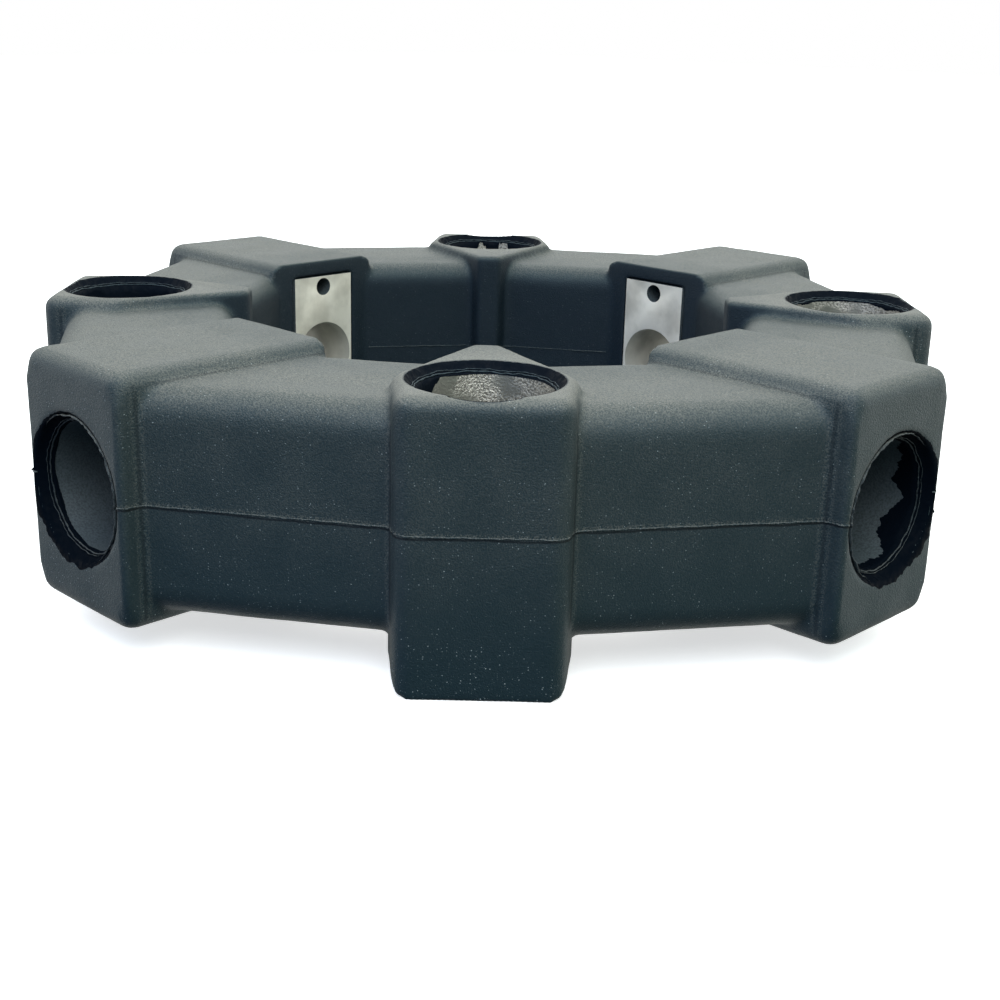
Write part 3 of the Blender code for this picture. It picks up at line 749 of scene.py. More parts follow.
@dataclass
class RubberMoulding:
    """The rubber ring with its eight lobes, with the soft fillets and slight unevenness of a moulding."""

    node: str = "rubber_body"
    grid: float = 0.7 * MM
    most_triangles: int = 190_000
    fillet_reach: float = 1.6 * MM
    on_lobe: float = 0.35  # how far a fillet reaches on the lobe, against on the web
    smooth_factor: float = 0.5
    smooth_rounds: int = 2
    weight_levels: int = 8
    foot_radius: float = 2.6 * MM
    face_edge: float = 3.2 * MM  # radius of a radial lobe's upright outer edges in the frame
    crisp_edge: float = 1.5 * MM  # and as they are moulded
    crisp_run: float = 3.0 * MM  # over which the one turns into the other, and how far from the lobe's ends
    on_edge: float = 0.8  # points this share of the radius out from its centre lie on the skin
    axial_half_width: float = 17.2 * MM  # beside the bolt
    axial_taper: float = math.radians(7.0)
    slant: float = math.radians(27.7)
    slant_distance: float = 15.65 * MM  # from the bolt's centre line to a slanted side
    web_outside_at_axial: float = 94.0 * MM
    web_outside_at_radial: float = 104.0 * MM
    web_inside_at_axial: float = 57.0 * MM
    plate_half_width: float = 14.5 * MM
    wave: float = 11.0 * MM
    wave_height: float = 0.22 * MM
    wave_middle: float = 0.9  # pushes the skin inwards more than out, which keeps it in the overall box
    sizes: CouplingSizes = SIZES

    def build(self, nodes: dict[str, bpy.types.Object]) -> bpy.types.Object:
        """Makes the moulding.

        Args:
            nodes: The frame's CAD nodes.

        Returns:
            The finished piece.
        """
        obj = workpiece(self.whole_copy(nodes[self.node]))
        remesh = obj.modifiers.new("even skin", "REMESH")
        remesh.mode = "VOXEL"
        remesh.voxel_size = self.grid
        obj = workpiece(settled(obj, "rubber_skin"))
        self.round_feet(obj.data)
        self.crisp_edges(obj.data)
        self.mark_junctions(obj)
        junctions = obj.modifiers.new("fillets", "SMOOTH")
        junctions.factor = self.smooth_factor
        junctions.iterations = self.smooth_rounds
        junctions.vertex_group = "junctions"
        skin = obj.modifiers.new("skin", "SMOOTH")
        skin.factor = self.smooth_factor
        skin.iterations = self.smooth_rounds
        self.add_unevenness(obj)
        thin = obj.modifiers.new("thinned", "DECIMATE")
        triangles = sum(len(face.vertices) - 2 for face in obj.data.polygons)
        thin.ratio = min(1.0, self.most_triangles / triangles)
        mesh = settled(obj, "rubber_moulding")
        mesh.shade_smooth()
        mesh.materials.clear()
        mesh.materials.append(MouldedRubber().material())
        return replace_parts(add_piece("rubber_moulding", mesh), self.node)

    def whole_copy(self, node: bpy.types.Object) -> bpy.types.Mesh:
        """A copy of a CAD node's mesh with its loose triangles joined."""
        shape = bmesh.new()
        shape.from_mesh(node.data)
        bmesh.ops.remove_doubles(shape, verts=shape.verts, dist=0.001 * MM)
        return mesh_of(shape, "rubber_copy")

    def axial_side(self, along: np.ndarray, across: np.ndarray) -> tuple[np.ndarray, np.ndarray]:
        """How far points lie outside an axial lobe's straight side, and outside its slanted one."""
        from_bolt = along - self.sizes.bolt_circle
        straight = (across - self.axial_half_width) * math.cos(self.axial_taper)
        straight += from_bolt * math.sin(self.axial_taper)
        slanted = across * math.cos(self.slant) - from_bolt * math.sin(self.slant) - self.slant_distance
        return straight, slanted

    def round_feet(self, mesh: bpy.types.Mesh) -> None:
        """Rounds the lower side edges of the axial lobes, where they meet the flange."""
        points = points_of(mesh)
        view = LobeView.of(points)
        straight, slanted = self.axial_side(view.along, view.across)
        radius = self.foot_radius
        beside, below = np.maximum(straight, slanted) + radius, radius - view.height
        reach = np.hypot(beside, below)
        cut = view.is_axial & (beside > 0) & (below > 0) & (reach > radius)
        shrink = np.where(cut, radius / np.maximum(reach, TINY), 1.0)
        view.shift(points, 1 - shrink, 0.0, -beside)
        points[:, 2] = np.where(cut, radius - below * shrink, view.height)
        move_points(mesh, points)

    def crisp_edges(self, mesh: bpy.types.Mesh) -> None:
        """Tightens the upright outer edges of the radial lobes, away from their ends."""
        points = points_of(mesh)
        view = LobeView.of(points)
        wide, narrowing = self.face_edge, self.face_edge - self.crisp_edge
        out = view.along - (self.sizes.radial_reach - wide)
        beside = view.across - (self.sizes.radial_half_width - wide)
        reach = np.maximum(np.hypot(out, beside), TINY)
        on_edge = (~view.is_axial) & (out > 0) & (beside > 0) & (reach > self.on_edge * wide)
        towards = (out + beside) / reach * narrowing
        to_round = towards + np.sqrt(np.maximum(towards**2 - 2 * narrowing**2 + self.crisp_edge**2, 0.0))
        to_flat = wide * reach / np.maximum(np.maximum(out, beside), TINY)
        on_flat = np.minimum(out, beside) * wide <= narrowing * np.maximum(out, beside)
        stretch = np.where(on_flat, to_flat, to_round) / wide - 1
        half_height = self.sizes.height - self.sizes.bolt_height
        from_end = half_height - np.abs(view.height - self.sizes.bolt_height)
        share = np.clip((from_end - self.crisp_run) / self.crisp_run, 0.0, 1.0)
        view.shift(points, np.where(on_edge, stretch * share, 0.0), out, beside)
        move_points(mesh, points)

    def mark_junctions(self, obj: bpy.types.Object) -> None:
        """Weights the points near the lines where webs meet lobes, which get wide fillets."""
        weights = self.junction_weights(points_of(obj.data))
        group = obj.vertex_groups.new(name="junctions")
        levels = np.round(weights * self.weight_levels).astype(int)
        for level in range(1, self.weight_levels + 1):
            group.add(np.flatnonzero(levels == level).tolist(), level / self.weight_levels, "REPLACE")

    def near(self, distance: np.ndarray, width: float = 1.0) -> np.ndarray:
        """How near a line points are: 1 on it, and little past a fillet's reach times the width."""
        return np.exp(-((distance / (self.fillet_reach * width)) ** 2))

    def junction_weights(self, points: np.ndarray) -> np.ndarray:
        """How near each point is to a line where a web meets a lobe.

        Args:
            points: The points, one a row.

        Returns:
            A weight from 0 to 1 for each point. It is 0 round an axial hole's rim and at a bare plate.
        """
        sizes, near, view = self.sizes, self.near, LobeView.of(points)
        is_axial, along, height = view.is_axial, view.along, view.height
        straight, slanted = self.axial_side(along, view.across)
        side = np.where(is_axial, np.maximum(straight, slanted), view.across - sizes.radial_half_width)
        flat = np.maximum(near(height - sizes.web_top), near(height - sizes.web_bottom))
        face = along - np.where(is_axial, self.web_outside_at_axial, self.web_outside_at_radial)
        inner = np.where(is_axial, along - self.web_inside_at_axial, 1.0)
        between = (height > sizes.web_bottom) & (height < sizes.web_top)
        upright = np.maximum(near(face), near(inner)) * between
        beside = near(np.minimum(side, 0.0), self.on_lobe) * near(np.maximum(side, 0.0))
        weight = beside * np.maximum(flat, upright)
        rim = is_axial & (height > sizes.web_top + 1.2 * MM)
        weight[rim & (slanted > straight - 1.5 * MM)] = 0.0
        at_plate = along < sizes.hub_flat + 1.0 * MM
        weight[(~is_axial) & at_plate & (view.across < self.plate_half_width)] = 0.0
        return weight

    def add_unevenness(self, obj: bpy.types.Object) -> None:
        """Moves the skin in by a tenth of a millimetre or so, unevenly, as a worn mould leaves it."""
        waves = bpy.data.textures.new("mould waves", "CLOUDS")
        waves.noise_scale = self.wave
        waves.noise_depth = 3
        modifier = obj.modifiers.new("unevenness", "DISPLACE")
        modifier.texture = waves
        modifier.texture_coords = "LOCAL"
        modifier.strength = self.wave_height
        modifier.mid_level = self.wave_middle


@dataclass
class PartingLine:
    """The thin ridge that the two halves of the mould left all the way round, at half height."""

    radius: float = 0.17 * MM
    stray: float = 0.17 * MM  # how far the ridge wanders
    wave: float = 0.8 * MM
    shortest: int = 4  # points in a chain worth keeping
    insert_width: float = 16.2 * MM  # half of it, beside an axial bolt
    insert_slope: float = 0.525  # how much it grows along the lobe, up to the widest
    insert_widest: float = 15.6 * MM
    insert_ends: tuple = (56.6 * MM, 96.5 * MM)  # from the coupling's axis
    plate_half_width: float = 14.6 * MM
    sizes: CouplingSizes = SIZES

    def build(self, moulding: bpy.types.Object) -> bpy.types.Object:
        """Makes the ridge along the moulding's own surface.

        Args:
            moulding: The finished rubber moulding.

        Returns:
            The finished piece.
        """
        shape = bmesh.new()
        shape.from_mesh(moulding.data)
        cut = bmesh.ops.bisect_plane(
            shape,
            geom=shape.verts[:] + shape.edges[:] + shape.faces[:],
            plane_co=(0.0, 0.0, self.sizes.bolt_height),
            plane_no=(0.0, 0.0, 1.0),
            clear_inner=True,
            clear_outer=True,
        )
        line_edges = [edge for edge in cut["geom_cut"] if isinstance(edge, bmesh.types.BMEdge)]
        shown = [edge for edge in line_edges if not self.is_hidden((edge.verts[0].co + edge.verts[1].co) / 2)]
        curve = bpy.data.curves.new("parting_line", "CURVE")
        curve.dimensions = "3D"
        curve.bevel_depth = self.radius
        curve.bevel_resolution = 1
        curve.use_fill_caps = True
        for points, closed in self.chains(shown):
            spline = curve.splines.new("POLY")
            spline.points.add(len(points) - 1)
            spline.use_cyclic_u = closed
            for place, point in zip(spline.points, points):
                place.co = (*point, 1.0)
        shape.free()
        mesh = settled(workpiece(curve), "parting_line")
        self.fray(mesh)
        mesh.shade_smooth()
        mesh.materials.clear()
        mesh.materials.append(moulding.data.materials[0])
        return add_piece("parting_line", mesh)

    def chains(self, edges: list) -> list[tuple[list[Vector], bool]]:
        """Joins edges end to end.

        Args:
            edges: The edges, of which at most two meet at a point.

        Returns:
            The points of each chain in order, and whether the chain closes.
        """
        touching: dict = {}
        for edge in edges:
            for vert in edge.verts:
                touching.setdefault(vert, []).append(edge)
        ends = [vert for vert, found in touching.items() if len(found) == 1]
        used: set = set()
        result = []
        for start in ends + list(touching):
            edge = next((e for e in touching[start] if e not in used), None)
            if edge is None:
                continue
            vert, points = start, [start.co.copy()]
            while edge is not None:
                used.add(edge)
                vert = edge.other_vert(vert)
                points.append(vert.co.copy())
                edge = next((e for e in touching[vert] if e not in used), None)
            closed = vert is start
            result.append((points[:-1] if closed else points, closed))
        return [chain for chain in result if len(chain[0]) >= self.shortest]

    def is_hidden(self, point: Vector) -> bool:
        """Whether a point of the line lies on a wall against an insert."""
        eighth = round(math.atan2(point.y, point.x) / EIGHTH)
        local = Matrix.Rotation(-eighth * EIGHTH, 3, "Z") @ point
        if eighth % 2:
            sloping = abs(local.y) - self.insert_slope * (local.x - self.sizes.bolt_circle)
            inside = sloping < self.insert_width and abs(local.y) < self.insert_widest
            return inside and self.insert_ends[0] < local.x < self.insert_ends[1]
        return abs(local.y) < self.plate_half_width and self.sizes.hub_flat - 1.0 * MM < local.x

    def fray(self, mesh: bpy.types.Mesh) -> None:
        """Makes the ridge uneven, by moving its points up and down a little."""
        for vert in mesh.vertices:
            vert.co += noise.noise_vector(vert.co * (1 / self.wave)) * self.stray


def torn_side(number: int) -> int:
    """The side of a lobe on which the skin tore furthest: 1 anticlockwise, -1 clockwise."""
    return 1 if number % 2 else -1


@dataclass
class HoleTrim:
    """The sizes that the dark lining and the lips of one bolt hole share."""

    kind: Lobe
    number: int
    sizes: CouplingSizes = SIZES

    @property
    def rim(self) -> float:
        """The radius of the hole in the lobe's face."""
        return self.sizes.radial_rim if self.kind is Lobe.RADIAL else self.sizes.axial_rim

    @property
    def skin(self) -> float:
        """The thickness of the rubber over the metal."""
        return self.sizes.radial_skin if self.kind is Lobe.RADIAL else self.sizes.axial_skin

    @property
    def worst(self) -> Vector:
        """The direction in which the skin tore furthest, from the hole's middle."""
        return Vector((0.55, 0.83 * torn_side(self.number), 0.0))


@dataclass
class DarkHoleSheet(HoleTrim):
    """The dark sheet of a bolt hole: it lines the hole's flare, and a film hangs into the bore.

    A radial hole's is its torn-out skin, running out over the face in ragged bays. An axial hole's is
    painted shade on its funnel, with the film hung deepest on one side as a painted shadow patch.
    """

    SCALES: ClassVar[tuple] = (2.2, 8.0, 26.0)  # of the coarse, fine and finest noise round a hole
    FILM_WAVES: ClassVar[tuple] = (4.2, 0.9, 0.6)  # what each adds to the film
    BAY_WAVES: ClassVar[tuple] = (1.1, 0.8, 0.3)  # and to the bays, in mm
    WORST_FILM: ClassVar[float] = 2.4  # what is added where the skin tore furthest
    WORST_BAY: ClassVar[float] = 1.5

    steps: int = 360
    rows: int = 12
    film_rows: int = 4
    film_depth: float = 1.6 * MM
    proud: float = 0.05 * MM
    curl: float = 0.3 * MM  # how far its outer edge stands over the face before it is laid on the rubber
    flare_share: float = 0.93  # how much of the skin's thickness the flare takes
    flare_power: float = 1.3

    @property
    def film(self) -> float:
        """How deep the film hangs into the bore, against the usual: each radial hole is torn differently, and an
        axial hole's film is painted shade.
        """
        depths = {Lobe.RADIAL: (1.0, 0.6, 0.8, 0.15), Lobe.AXIAL: (0.3, 2.6, 2.8, 0.04)}
        return depths[self.kind][self.number - 1]

    @property
    def reach(self) -> float:
        """How far the tears run out past the rim all the way round."""
        return 0.1 * MM if self.kind is Lobe.RADIAL else -0.15 * MM

    def build(self, turn: float, moulding: bpy.types.Object, material: bpy.types.Material) -> bpy.types.Object:
        """Makes the dark lining of one hole: torn skin in a radial lobe, painted shade in an axial one.

        Args:
            turn: The lobe's angle about the coupling's axis.
            moulding: The rubber moulding, which the sheet lies on.
            material: The near-black rubber, torn in a radial hole and painted shade in an axial one.

        Returns:
            The finished piece.
        """
        shape = bmesh.new()
        verts = [shape.verts.new((radius, 0.0, height)) for radius, height in self.profile()]
        edges = [shape.edges.new(pair) for pair in zip(verts, verts[1:])]
        spin_round(shape, verts + edges, self.steps)
        shape.verts.index_update()
        inside = self.neck - 0.001 * MM
        outside = [vert.index for vert in shape.verts if math.hypot(vert.co.x, vert.co.y) > inside]
        self.tear(shape)
        shape.transform(place_at_hole(self.kind, turn, self.sizes))
        name = f"{self.kind.value}_dark_lining_{self.number}"
        sheet = workpiece(mesh_of(shape, name))
        sheet.vertex_groups.new(name="outside").add(outside, 1.0, "REPLACE")
        wrap = sheet.modifiers.new("on the rubber", "SHRINKWRAP")
        wrap.target = moulding
        wrap.vertex_group = "outside"
        wrap.wrap_method = "NEAREST_SURFACEPOINT"
        wrap.wrap_mode = "ABOVE_SURFACE"
        wrap.offset = self.proud
        mesh = settled(sheet, name)
        self.face_outwards(mesh, turn)
        mesh.shade_smooth()
        mesh.materials.append(material)
        return add_piece(name, mesh)

    def profile(self) -> list[tuple[float, float]]:
        """The sheet's section, as (radius, height above the face), from inside the bore to the face."""
        inside = self.sizes.head - 0.07 * MM
        depths = [(1 - i / self.film_rows) * self.film_depth for i in range(self.film_rows + 1)]
        film = [(inside, -self.skin - depth) for depth in depths]
        slope = []
        for row in range(self.rows + 1):
            radius = self.neck + (self.rim + self.reach - self.neck) * row / self.rows
            left = max(0.0, 1 - (radius - self.neck) / (self.rim - self.neck))
            slope.append((radius, self.curl - self.skin * self.flare_share * left**self.flare_power))
        return film + slope

    @property
    def neck(self) -> float:
        """The radius at which the rubber's hole is narrowest."""
        return self.sizes.head + 0.28 * MM

    def tear(self, shape: bmesh.types.BMesh) -> None:
        """Makes both edges of the sheet ragged, most on the side where the skin tore furthest."""
        is_radial = self.kind is Lobe.RADIAL
        offset = Vector((self.number * 5.9, 1.7 if is_radial else 8.4, 0.0))
        outer = self.rim + self.reach
        worst = self.worst
        for vert in shape.verts:
            spoke = Vector((vert.co.x, vert.co.y, 0.0))
            share = (spoke.length - self.neck) / (outer - self.neck)
            spoke.normalize()
            side = max(0.0, spoke.dot(worst)) if is_radial else 0.0
            waves = [noise.noise(spoke * scale + offset) for scale in self.SCALES]
            if share >= 0:
                spread = 0.25 + side if is_radial else 0.1
                bay = self.WORST_BAY * side + spread * sum(most * wave for most, wave in zip(self.BAY_WAVES, waves))
                vert.co += spoke * (share**2 * MM * bay)
            elif vert.co.z < -self.skin:
                deep = (-self.skin - vert.co.z) / self.film_depth
                torn = sum((most * wave for most, wave in zip(self.FILM_WAVES, waves)), 1.0) + self.WORST_FILM * side
                hang = self.film * max(0.0, torn)
                # In an axial hole the film hangs deepest on one side: a painted shadow patch on the bore's wall.
                if not is_radial:
                    _, fine, finest = waves
                    hang += 24.0 * max(0.0, 0.08 * fine + 0.04 * finest - spoke.y - 0.66)
                vert.co.z = -self.skin - deep * MM * hang

    def face_outwards(self, mesh: bpy.types.Mesh, turn: float) -> None:
        """Turns the sheet's faces away from the rubber."""
        out = Vector((0.0, 0.0, 1.0)) if self.kind is Lobe.AXIAL else Vector((math.cos(turn), math.sin(turn), 0.0))
        facing = sum(face.normal.dot(out) * face.area for face in mesh.polygons)
        if facing < 0:
            mesh.flip_normals()


def place_at_hole(kind: Lobe, turn: float, sizes: CouplingSizes) -> Matrix:
    """The matrix that takes a ring from its own axis to a bolt hole's rim.

    Args:
        kind: The kind of lobe.
        turn: The lobe's angle about the coupling's axis.
        sizes: The coupling's sizes.

    Returns:
        The matrix.
    """
    spin = Matrix.Rotation(turn, 4, "Z")
    if kind is Lobe.AXIAL:
        return spin @ Matrix.Translation((sizes.bolt_circle, 0.0, sizes.height))
    there = Matrix.Translation((sizes.radial_reach, 0.0, sizes.bolt_height))
    return spin @ there @ Matrix.Rotation(QUARTER, 4, "Y")


@dataclass
class TornLip(HoleTrim):
    """The thin uneven lips of rubber flash left in a bolt hole.

    Two lie where the metal starts. A radial hole has a third that stands just inside its rim, on
    the side where the skin didn't tear.
    """

    RIM_VARIANT: ClassVar[float] = 9.0
    RIM_END: ClassVar[float] = 0.22  # how far towards the torn side the rim's lip runs

    steps: int = 240
    sides: int = 6

    def build(self, turn: float, material: bpy.types.Material) -> bpy.types.Object:
        """Makes the lips of one hole.

        Args:
            turn: The lobe's angle about the coupling's axis.
            material: The rubber.

        Returns:
            The finished piece.
        """
        shape = bmesh.new()
        lips = [
            (self.sizes.head + 0.3 * MM, -0.85 * self.skin, 0.13 * MM, 1.0, 0.0),
            (self.sizes.head + 0.55 * MM, -0.68 * self.skin, 0.07 * MM, 1.0, 5.0),
        ]
        if self.kind is Lobe.RADIAL:
            lips.append((self.rim - 0.3 * MM, -0.55 * MM, 0.1 * MM, 5.0, self.RIM_VARIANT))
        for radius, depth, thickness, tall, variant in lips:
            ring = bmesh.new()
            self.add_ring(ring, radius, depth, thickness, tall)
            self.fray(ring, Vector((radius, depth)), variant)
            mesh = mesh_of(ring, "lip")
            shape.from_mesh(mesh)
            bpy.data.meshes.remove(mesh)
        shape.transform(place_at_hole(self.kind, turn, self.sizes))
        name = f"{self.kind.value}_lip_{self.number}"
        mesh = mesh_of(shape, name)
        mesh.shade_smooth()
        mesh.materials.append(material)
        return add_piece(name, mesh)

    def add_ring(self, ring: bmesh.types.BMesh, radius: float, depth: float, thickness: float, tall: float) -> None:
        """Spins a small round or upright section into a closed ring.

        Args:
            ring: The bmesh to add it to.
            radius: The ring's radius.
            depth: Its height above the lobe's face.
            thickness: The section's radius.
            tall: The section's height against its width.
        """
        verts = []
        for i in range(self.sides):
            turn = 2 * math.pi * i / self.sides
            section = (radius + thickness * math.cos(turn), 0.0, depth + thickness * tall * math.sin(turn))
            verts.append(ring.verts.new(section))
        edges = [ring.edges.new((verts[i - 1], verts[i])) for i in range(len(verts))]
        spin_round(ring, verts + edges, self.steps)
        bmesh.ops.recalc_face_normals(ring, faces=ring.faces)

    def fray(self, ring: bmesh.types.BMesh, core: Vector, variant: float) -> None:
        """Makes a ring wander, swell and thin along its length, and ends the rim's where the skin tore.

        Args:
            ring: The ring, on its own axis.
            core: The radius and height of the section's middle.
            variant: Any number, which gives each ring its own waves.
        """
        shared = Vector((self.number * 7.3, 0.0, 3.0 if self.kind is Lobe.RADIAL else 0.0))
        own = shared + Vector((0.0, variant, 0.0))
        torn = self.worst
        gone = []
        for vert in ring.verts:
            spoke = Vector((vert.co.x, vert.co.y, 0.0)).normalized()
            coarse = noise.noise(spoke * 2.3 + shared)
            fine = noise.noise(spoke * 9.0 + own)
            finest = noise.noise(spoke * 24.0 + own)
            middle = spoke * core.x + Vector((0.0, 0.0, core.y))
            swell = max(0.3, 1.0 + 0.8 * noise.noise(spoke * 13.0 + own) + 0.4 * finest)
            if variant == self.RIM_VARIANT:
                towards = spoke.dot(torn)
                swell *= min(1.0, max(0.05, (0.2 - towards) / 0.5))
                middle -= spoke * (0.8 * MM * max(0.0, noise.noise(spoke * 3.5 + own)))
                if towards > self.RIM_END:
                    gone.append(vert)
            vert.co = middle + (vert.co - spoke * core.x - Vector((0.0, 0.0, core.y))) * swell
            vert.co += spoke * (MM * (0.22 * coarse + 0.14 * fine + 0.06 * finest))
            vert.co.z += MM * (0.25 * coarse + 0.15 * fine)
        bmesh.ops.delete(ring, geom=gone, context="VERTS")
        bmesh.ops.holes_fill(ring, edges=ring.edges, sides=self.sides)


@dataclass
class FlashTag:
    """A small tag of torn rubber that sticks out where a radial hole's tears reach the lobe's edge."""

    number: int
    size: tuple = (1.87 * MM, 0.68 * MM, 0.765 * MM)  # half of it, along the lobe, across and upwards
    from_face: float = 2.3 * MM
    lowest: float = 4.0 * MM  # under the bolt
    rise: float = 1.4 * MM  # from each lobe to the next
    sizes: CouplingSizes = SIZES

    def build(self, turn: float, material: bpy.types.Material) -> bpy.types.Object:
        """Makes the tag of one lobe.

        Args:
            turn: The lobe's angle about the coupling's axis.
            material: The torn rubber.

        Returns:
            The finished piece.
        """
        shape = bmesh.new()
        bmesh.ops.create_icosphere(shape, subdivisions=3, radius=1.0)
        for vert in shape.verts:
            vert.co *= 1 + 0.5 * noise.noise(vert.co * 1.4 + Vector((self.number * 3.1, 0.0, 0.0)))
        bmesh.ops.scale(shape, verts=shape.verts, vec=self.size)
        aside = torn_side(self.number) * self.sizes.radial_half_width
        there = (self.sizes.radial_reach - self.from_face, aside, self.tag_height)
        bmesh.ops.translate(shape, verts=shape.verts, vec=there)
        shape.transform(Matrix.Rotation(turn, 4, "Z"))
        name = f"radial_flash_tag_{self.number}"
        mesh = mesh_of(shape, name)
        mesh.shade_smooth()
        mesh.materials.append(material)
        return add_piece(name, mesh)

    @property
    def tag_height(self) -> float:
        """The height of the tag's middle: below the bolt's at first, and higher in each next lobe."""
        return self.sizes.bolt_height - self.lowest + (self.number - 1) * self.rise


@dataclass
class BondedInsert:
    """A cast bush bonded in a lobe: a keystone block with a bore, the head's seat and a pin hole."""

    kind: Lobe
    sizes: CouplingSizes = SIZES
    circle: int = 128
    bevel: float = 0.35 * MM
    bevel_from: float = math.radians(40.0)  # the least angle between faces that gets a bevel
    sharp_from: float = math.radians(35.0)  # and the least that shows as an edge
    radial_plan: tuple = ((104.2, 13.7), (78.0, 13.7), (60.0, 9.1))  # half of it in mm, from the outer end
    axial_plan: tuple = ((95.55, 13.35), (81.9, 15.05), (57.5, 2.25))
    radial_seat: float = 80.0 * MM
    axial_seat: float = 30.0 * MM
    half_height: float = 20.5 * MM
    past: float = 5.0 * MM  # how far a cutter runs past a face
    on_face: float = 0.3 * MM  # how near a milled face its bevels still count as milled
    on_bore: float = 0.2 * MM

    def blank(self) -> bpy.types.Mesh:
        """The block before drilling, from its keystone plan."""
        plan = self.radial_plan if self.kind is Lobe.RADIAL else self.axial_plan
        corners = [(x * MM, y * MM) for x, y in plan]
        corners += [(x, -y) for x, y in reversed(corners)]
        low, high = 0.0, self.sizes.height - self.sizes.axial_skin
        if self.kind is Lobe.RADIAL:
            low = self.sizes.bolt_height - self.half_height
            high = self.sizes.bolt_height + self.half_height
        shape = bmesh.new()
        face = shape.faces.new([shape.verts.new((x, y, low)) for x, y in corners])
        top = bmesh.ops.extrude_face_region(shape, geom=[face])["geom"]
        moved = [part for part in top if isinstance(part, bmesh.types.BMVert)]
        bmesh.ops.translate(shape, verts=moved, vec=(0.0, 0.0, high - low))
        bmesh.ops.recalc_face_normals(shape, faces=shape.faces)
        return mesh_of(shape, f"{self.kind.value}_block")

    def drill(self, name: str, radius: float, start: float, end: float, offset: float) -> bpy.types.Object:
        """A cutter along the bolt.

        Args:
            name: The cutter's name.
            radius: Its radius.
            start: Where it starts, along the lobe or upwards.
            end: Where it ends.
            offset: How far it lies from the bolt, upwards or towards the axis.

        Returns:
            The cutter, linked to the scene.
        """
        shape = bmesh.new()
        bmesh.ops.create_cone(
            shape,
            cap_ends=True,
            cap_tris=False,
            segments=self.circle,
            radius1=radius,
            radius2=radius,
            depth=end - start,
            matrix=Matrix.Translation((0.0, 0.0, (start + end) / 2)),
        )
        if self.kind is Lobe.RADIAL:
            shape.transform(Matrix.Rotation(QUARTER, 4, "Y"))
            shape.transform(Matrix.Translation((0.0, 0.0, self.sizes.bolt_height + offset)))
        else:
            shape.transform(Matrix.Translation((self.sizes.bolt_circle - offset, 0.0, 0.0)))
        cutter = workpiece(mesh_of(shape, name))
        cutter.hide_render = True
        return cutter

    def finish_of(self, centre: Vector, face: float, seat: float) -> int:
        """The finish of a face of the block, by its number in the mesh's list of finishes.

        Args:
            centre: The face's centre.
            face: Where the bare seating face lies, along the bolt.
            seat: Where the head's seat lies.

        Returns:
            0 for a face left as cast, 1 for the milled seating face and 2 for a drilled bore.
        """
        if self.kind is Lobe.AXIAL:
            return int(centre.z < face + self.on_face)
        if centre.x < face + self.on_face:
            return 1
        from_bolt = math.hypot(centre.y, centre.z - self.sizes.bolt_height)
        return 2 if from_bolt < self.sizes.bore + self.on_bore and centre.x < seat else 0

    def build_all(self, finishes: tuple) -> None:
        """Makes the four inserts of this kind.

        Args:
            finishes: The materials of the walls left as cast, the milled face and the drilled bore.
        """
        face, seat, end = 0.0, self.axial_seat, self.sizes.height
        if self.kind is Lobe.RADIAL:
            face, seat, end = self.sizes.hub_flat, self.radial_seat, self.sizes.radial_reach
        before, after, pin_end = face - self.past, end + self.past, face + self.sizes.pin_depth
        cutters = [
            self.drill("bore", self.sizes.bore, before, after, 0.0),
            self.drill("head", self.sizes.head, seat, after, 0.0),
            self.drill("pin", self.sizes.pin, before, pin_end, self.sizes.pin_offset),
        ]
        block = workpiece(self.blank())
        for cutter in cutters:
            modifier = block.modifiers.new(cutter.name, "BOOLEAN")
            modifier.operation = "DIFFERENCE"
            modifier.object = cutter
            modifier.solver = "EXACT"
        bevel = block.modifiers.new("broken edges", "BEVEL")
        bevel.width = self.bevel
        bevel.segments = 2
        bevel.limit_method = "ANGLE"
        bevel.angle_limit = self.bevel_from
        mesh = settled(block, f"{self.kind.value}_insert")
        for cutter in cutters:
            bpy.data.objects.remove(cutter)
        mesh.shade_smooth()
        mesh.set_sharp_from_angle(angle=self.sharp_from)
        mesh.materials.clear()
        for finish in finishes:
            mesh.materials.append(finish)
        for polygon in mesh.polygons:
            polygon.material_index = self.finish_of(polygon.center, face, seat)
        for number, turn in enumerate(self.kind.turns, 1):
            copy = mesh.copy()
            copy.transform(Matrix.Rotation(turn, 4, "Z"))
            piece = add_piece(f"{self.kind.value}_bush_{number}", copy)
            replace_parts(piece, f"{self.kind.value}_insert_{number}")


